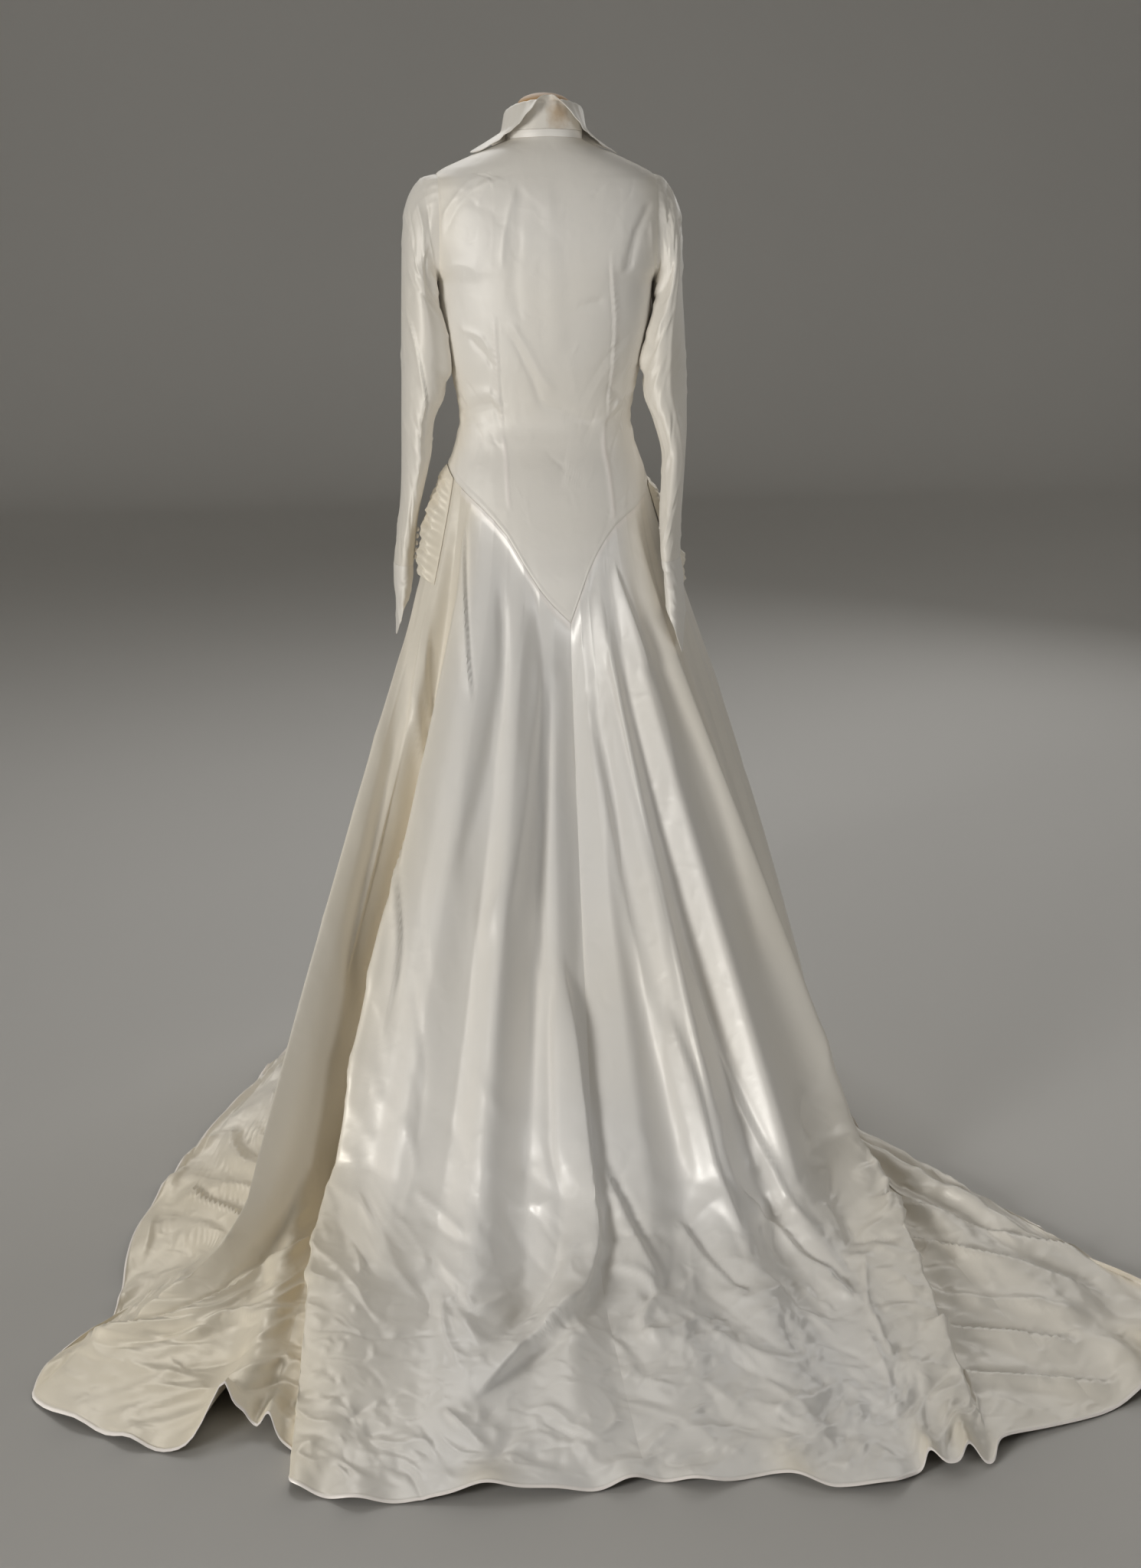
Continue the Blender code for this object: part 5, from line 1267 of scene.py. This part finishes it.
def skirt_heights(grid, u, v, line, down):
    """Heights of all creases and crumples of the skirt."""
    sizes = bpy.context.scene.dress_sizes
    draws = np.random.default_rng(sizes.seed)
    placed = np.zeros(u.shape)
    for kind, width, tall, path in SKIRT_CREASES:
        at = np.array(path, float)
        placed += placed_crease(grid, u, v, skirt_point(at[:, 0], at[:, 1]), kind, width, tall)
    loose = np.zeros(u.shape)
    for _, count, lines, shares, length, width, height, turn, spread, ridges in CRUMPLES:
        rows = np.searchsorted(down[:, 0], shares)
        columns = np.searchsorted(line[0], lines)
        loose += random_creases(u, v, draws, count, (rows, columns), length, width, height, turn, spread,
                                ridges)
    return sizes.crease * placed + sizes.crumple * loose


class DRESS_OT_skirt(bpy.types.Operator):
    """Cut the five gores, drape them and crumple the train on the floor"""
    bl_idname = "dress.skirt"
    bl_label = "Skirt"

    def execute(self, context):
        sizes = context.scene.dress_sizes
        grid, line, down = skirt_grid()
        out = grid_normals(grid)
        for _ in range(3):
            out[:, 1:-1] = (out[:, :-2] + 2 * out[:, 1:-1] + out[:, 2:]) / 4
        out[:, 0] = out[:, 0] + out[:, -1]
        out[:, -1] = out[:, 0]
        out /= np.linalg.norm(out, axis=-1, keepdims=True)
        middle = int(np.searchsorted(line[0], CENTRE_BACK_LINE))
        u, v = grid_lengths(grid, middle)
        # Creases die out where the cloth is held or crowded and at the hidden front's closing line
        crowd = np.linalg.norm(np.gradient(grid, line[0], axis=1), axis=-1)
        height = skirt_heights(grid, u, v, line, down) * ramp(down, 0.0, 0.04)
        height *= (0.3 + 0.7 * ramp(crowd, 0.004, 0.020)) * ramp(np.minimum(line - 4, 49 - line), 0, 0.6)
        rise = np.clip(out[..., 2], 0, 1)
        bottom = -(grid[..., 2] - 0.0012) / np.maximum(rise, 0.2)
        height = np.where(rise > 0.2, np.maximum(height, bottom), height)
        fall = v[-1:] - v
        # The narrow rolled hem and the pressed allowance under the left of the basque seam
        rolled = 0.0010 * np.exp(-((fall - 0.0032) / 0.0020) ** 2)
        pressed = 0.0008 * ramp(0.013 - v, 0, 0.0015) * (line > CENTRE_BACK_LINE) * (line < 31)
        moved = grid + out * (height + rolled + pressed)[..., None]
        waves = ramp(down, 0.94, 1.0)
        moved[..., 2] += waves * 0.0045 * (1 + np.sin(u / 0.021 + 2.2 * np.sin(u / 0.057)))
        back = skirt_point(line[0], 0 * line[0] + 0.80) - skirt_point(line[0], 0 * line[0] + 0.99)
        back[:, 2] = 0
        back /= np.linalg.norm(back, axis=-1, keepdims=True)
        curled = np.zeros(line.shape)
        for middle_line, across, lift, pull in CURLS:
            weight = np.exp(-((line - middle_line) / across) ** 2) * ramp(down, 0.90, 1.0) ** 1.6
            moved[..., 2] += lift / 1000 * weight
            moved += back[None] * (pull / 1000 * weight ** 1.5)[..., None]
            curled = np.maximum(curled, weight)
        moved[..., 2] = np.maximum(moved[..., 2], 0.0010)
        lie = ramp(down, UPPER_SHARE - 0.06, UPPER_SHARE + 0.12)
        # Cream tone: yellowed satin on the side gores, the right of the back, the left of the train and the hem
        # curls; its rise from line 27.5 to 29.5 is also painted shade, where the back gore's left side turns away
        # from the light
        yellowing_and_shade = (0.10 + 0.50 * ramp(line, 27.5, 29.5) * ramp(line, 41, 38) + 0.30 * ramp(line, 17.5, 15.0)
                + 0.25 * lie * ramp(line, 24.5, 28.0) + 0.5 * curled)
        hem = np.exp(-(fall / 0.0045) ** 4)
        # Seam allowances that show pale through the satin under the basque, wider on the left
        wide = np.where(line > CENTRE_BACK_LINE, 0.013, 0.009)
        allowance = 0.5 * ramp(wide - v, 0, 0.0025) * (line > 12) * (line < 31)
        for name, first, last in GORES:
            columns = (line[0] > first - 1e-6) & (line[0] < last + 1e-6)
            part = moved[:, columns]
            sink = edge_sink(part, (True, True), (True, False)) * ramp(1 - down[:, columns], 0, 0.02)
            part = part + out[:, columns] * sink[..., None]
            part[..., 2] = np.maximum(part[..., 2], 0.0009)
            if name == "skirt_front":
                kept = np.r_[0:part.shape[0] - 8:2, part.shape[0] - 8:part.shape[0]]
            else:
                kept = np.arange(part.shape[0])
            piece = cloth_piece(name, part[kept], satin("ivory_satin_skirt", 1.0),
                                crushed=(0.30 + 0.70 * lie[:, columns])[kept], cream_and_shade=yellowing_and_shade[:, columns][kept],
                                edge=np.maximum(hem, allowance)[:, columns][kept])
            declare_cloth(piece, grid[:, columns][kept])
        return {"FINISHED"}


class DRESS_OT_drapes(bpy.types.Operator):
    """Gather the drapes over the hips"""
    bl_idname = "dress.drapes"
    bl_label = "Hip drapes"

    def execute(self, context):
        sizes = context.scene.dress_sizes
        draws = np.random.default_rng(sizes.seed + 41)
        for name, first, last, gore in DRAPES:
            across = np.linspace(0, 1, 61)
            down, a = np.meshgrid(np.linspace(0, 1, 85), across, indexing="ij")
            line = first + (last - first) * a
            gather = np.sin(2 * np.pi * (DRAPE_GATHERS * down + 0.9 * a)) * 0.5 + 0.5
            fine = np.sin(2 * np.pi * (3.1 * DRAPE_GATHERS * down + 2.1 * a + 0.3 * np.sin(9 * a)))
            edge = ramp(np.minimum(a, 1 - a), 0, 0.18)
            ease = np.clip(down / 0.12, 0, 1)
            bulge = np.sin(np.pi * down ** 1.5)
            rest = DRAPE_SEAT + (DRAPE_LIFT - DRAPE_SEAT) * np.clip(down / 0.06, 0, 1) * edge
            out = rest + edge * ease * (DRAPE_PUFF * bulge + 0.0045 * gather * (0.4 + 0.6 * bulge)
                                        + 0.0011 * fine * sizes.crease)
            top = np.radians(fold_value("top", line))
            radial = np.stack([np.sin(top), np.cos(top), 0 * top], axis=-1)
            grid = skirt_point(line, down * DRAPE_LENGTH) + radial * out[..., None]
            u, v = grid_lengths(grid, 30)
            tucks = random_creases(u, v, draws, 34, ((6, 78), (8, 52)), (24, 70), (2.0, 4.5), (0.8, 2.4), 1.2, 0.45,
                                   0.75)
            grid = grid + radial * (np.maximum(tucks, -0.0006) * edge * ease)[..., None]
            piece = cloth_piece(name, grid, satin("ivory_satin_bodice", 0.9, 0.0), crushed=0.6, cream_and_shade=0.75)
            declare_cloth(piece, grid)
        return {"FINISHED"}


class DRESS_OT_buttons(bpy.types.Operator):
    """Sew on the covered buttons, down the front and at the wrists"""
    bl_idname = "dress.buttons"
    bl_label = "Buttons"

    def execute(self, context):
        names = [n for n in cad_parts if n.startswith(("front_button", "cuff_button"))]
        for name in sorted(names):
            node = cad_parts[name]
            points = np.array([node.matrix_world @ v.co for v in node.data.vertices])
            centre = (points.min(axis=0) + points.max(axis=0)) / 2
            _, _, axes = np.linalg.svd(points - points.mean(axis=0), full_matrices=False)
            way = Vector(axes[2])
            flat = Vector((centre[0], centre[1], 0)) - Vector((0.21 * np.sign(centre[0]), 0.05, 0)) * (
                "cuff" in name)
            if way.dot(flat) < 0:
                way = -way
            radius = float(np.abs((points - centre) @ axes[0]).max())
            nothing_selected()
            bpy.ops.mesh.primitive_uv_sphere_add(segments=24, ring_count=12, radius=radius)
            button = bpy.context.object
            bpy.ops.transform.resize(value=(1.0, 1.0, 0.6))
            bpy.ops.object.transform_apply(scale=True)
            # The cover's gathered rim, pulled in under the dome
            for v in button.data.vertices:
                low = ramp(-v.co.z / radius, 0.02, 0.25)
                v.co.x *= 1 - 0.10 * float(low)
                v.co.y *= 1 - 0.10 * float(low)
            turn = way.to_track_quat("Z", "Y").to_matrix().to_4x4()
            button.data.transform(Matrix.Translation(Vector(centre)) @ turn)
            finish_piece(button, name + "_cover", satin("satin_button_cover", 0.3, 0.5))
            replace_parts(button, name)
        return {"FINISHED"}


class DRESS_OT_stage(bpy.types.Operator):
    """Lay the pale floor, hang the backdrop, and set the lights and the camera"""
    bl_idname = "dress.stage"
    bl_label = "Stage"

    def execute(self, context):
        nothing_selected()
        bpy.ops.mesh.primitive_plane_add(size=1, location=(0, 0, 0))
        paper = context.object
        bpy.ops.transform.resize(value=(14.0, 12.0, 1.0))
        bpy.ops.object.transform_apply(scale=True)
        mesh = paper.data
        shift = -0.6
        for v in mesh.vertices:
            v.co.y += shift
        back = min(v.co.y for v in mesh.vertices)
        for v in mesh.vertices:
            v.select = v.co.y < back + 0.01
        bpy.ops.object.mode_set(mode="EDIT")
        bpy.ops.mesh.select_mode(type="EDGE")
        bpy.ops.mesh.extrude_region_move(TRANSFORM_OT_translate={"value": (0, -0.01, 4.5)})
        bpy.ops.mesh.select_all(action="DESELECT")
        bpy.ops.object.mode_set(mode="OBJECT")
        for edge in mesh.edges:
            edge.select = all(abs(mesh.vertices[i].co.y - back) < 0.005 and mesh.vertices[i].co.z < 0.01
                              for i in edge.vertices)
        bpy.ops.object.mode_set(mode="EDIT")
        bpy.ops.mesh.bevel(offset=1.2, segments=16)
        bpy.ops.object.mode_set(mode="OBJECT")
        paper.name = "floor"
        mesh.shade_smooth()
        mesh.materials.append(studio_paper())

        world = context.scene.world or bpy.data.worlds.new("studio")
        context.scene.world = world
        world.use_nodes = True
        world.node_tree.nodes["Background"].inputs["Color"].default_value = (0.92, 0.95, 1.0, 1)
        world.node_tree.nodes["Background"].inputs["Strength"].default_value = 0.22
        for name, place, aim, size, power, tint in (
                ("key_box", (3.1, 2.7, 1.25), (0, 0.2, 0.8), 1.2, 88, (1.0, 0.99, 0.97)),
                ("fill_box", (-2.2, 3.5, 1.1), (0, 0.2, 0.7), 1.2, 24, (0.95, 0.97, 1.0)),
                ("top_box", (0.3, -1.6, 2.7), (0, 0.8, 0.1), 1.2, 18, (1.0, 1.0, 1.0)),
                ("rim_box", (-2.0, -2.4, 1.8), (0, 0, 1.0), 1.2, 12, (1.0, 1.0, 1.0))):
            light = bpy.data.lights.new(name, "AREA")
            light.size = size
            light.energy = power
            light.color = tint
            lamp = bpy.data.objects.new(name, light)
            lamp.location = place
            lamp.rotation_euler = (Vector(aim) - Vector(place)).to_track_quat("-Z", "Y").to_euler()
            context.scene.collection.objects.link(lamp)

        heading = math.radians(8.0)
        pitch = math.radians(17.45)
        right = Vector((-math.cos(heading), math.sin(heading), 0))
        level = Vector((-math.sin(heading), -math.cos(heading), 0))
        forward = level * math.cos(pitch) - Vector((0, 0, 1)) * math.sin(pitch)
        upward = level * math.sin(pitch) + Vector((0, 0, 1)) * math.cos(pitch)
        place = -3.06 * level + 0.039 * right + Vector((0, 0, 1.40))
        lens = bpy.data.cameras.new("camera")
        lens.lens = 45
        lens.sensor_width = 36
        camera = bpy.data.objects.new("camera", lens)
        axes = (right, upward, -forward, place)
        camera.matrix_world = Matrix([[a[i] for a in axes] for i in range(3)] + [[0, 0, 0, 1]])
        context.scene.collection.objects.link(camera)
        context.scene.camera = camera
        context.scene.view_settings.view_transform = "Standard"
        return {"FINISHED"}


class DRESS_PT_panel(bpy.types.Panel):
    """Lists the steps of the dress"""
    bl_label = "Wedding dress"
    bl_idname = "DRESS_PT_panel"
    bl_space_type = "VIEW_3D"
    bl_region_type = "UI"
    bl_category = "Dress"

    def draw(self, context):
        for group in (context.scene.dress_sizes, context.scene.dress_colours):
            for name in group.__annotations__:
                self.layout.prop(group, name)
        for step in STEPS:
            self.layout.operator(step.bl_idname)


STEPS = (DRESS_OT_stage, DRESS_OT_form, DRESS_OT_bodice, DRESS_OT_collar, DRESS_OT_sleeves,
         DRESS_OT_cuffs, DRESS_OT_skirt, DRESS_OT_drapes, DRESS_OT_buttons)
CLASSES = (DressSizes, DressColours, *STEPS, DRESS_PT_panel)


def register():
    for kind in CLASSES:
        bpy.utils.register_class(kind)
    bpy.types.Scene.dress_sizes = bpy.props.PointerProperty(type=DressSizes)
    bpy.types.Scene.dress_colours = bpy.props.PointerProperty(type=DressColours)


def unregister():
    del bpy.types.Scene.dress_colours
    del bpy.types.Scene.dress_sizes
    for kind in reversed(CLASSES):
        bpy.utils.unregister_class(kind)


def main():
    register()
    for step in STEPS:
        group, name = step.bl_idname.split(".")
        getattr(getattr(bpy.ops, group), name)()


if __name__ == "__main__":
    main()
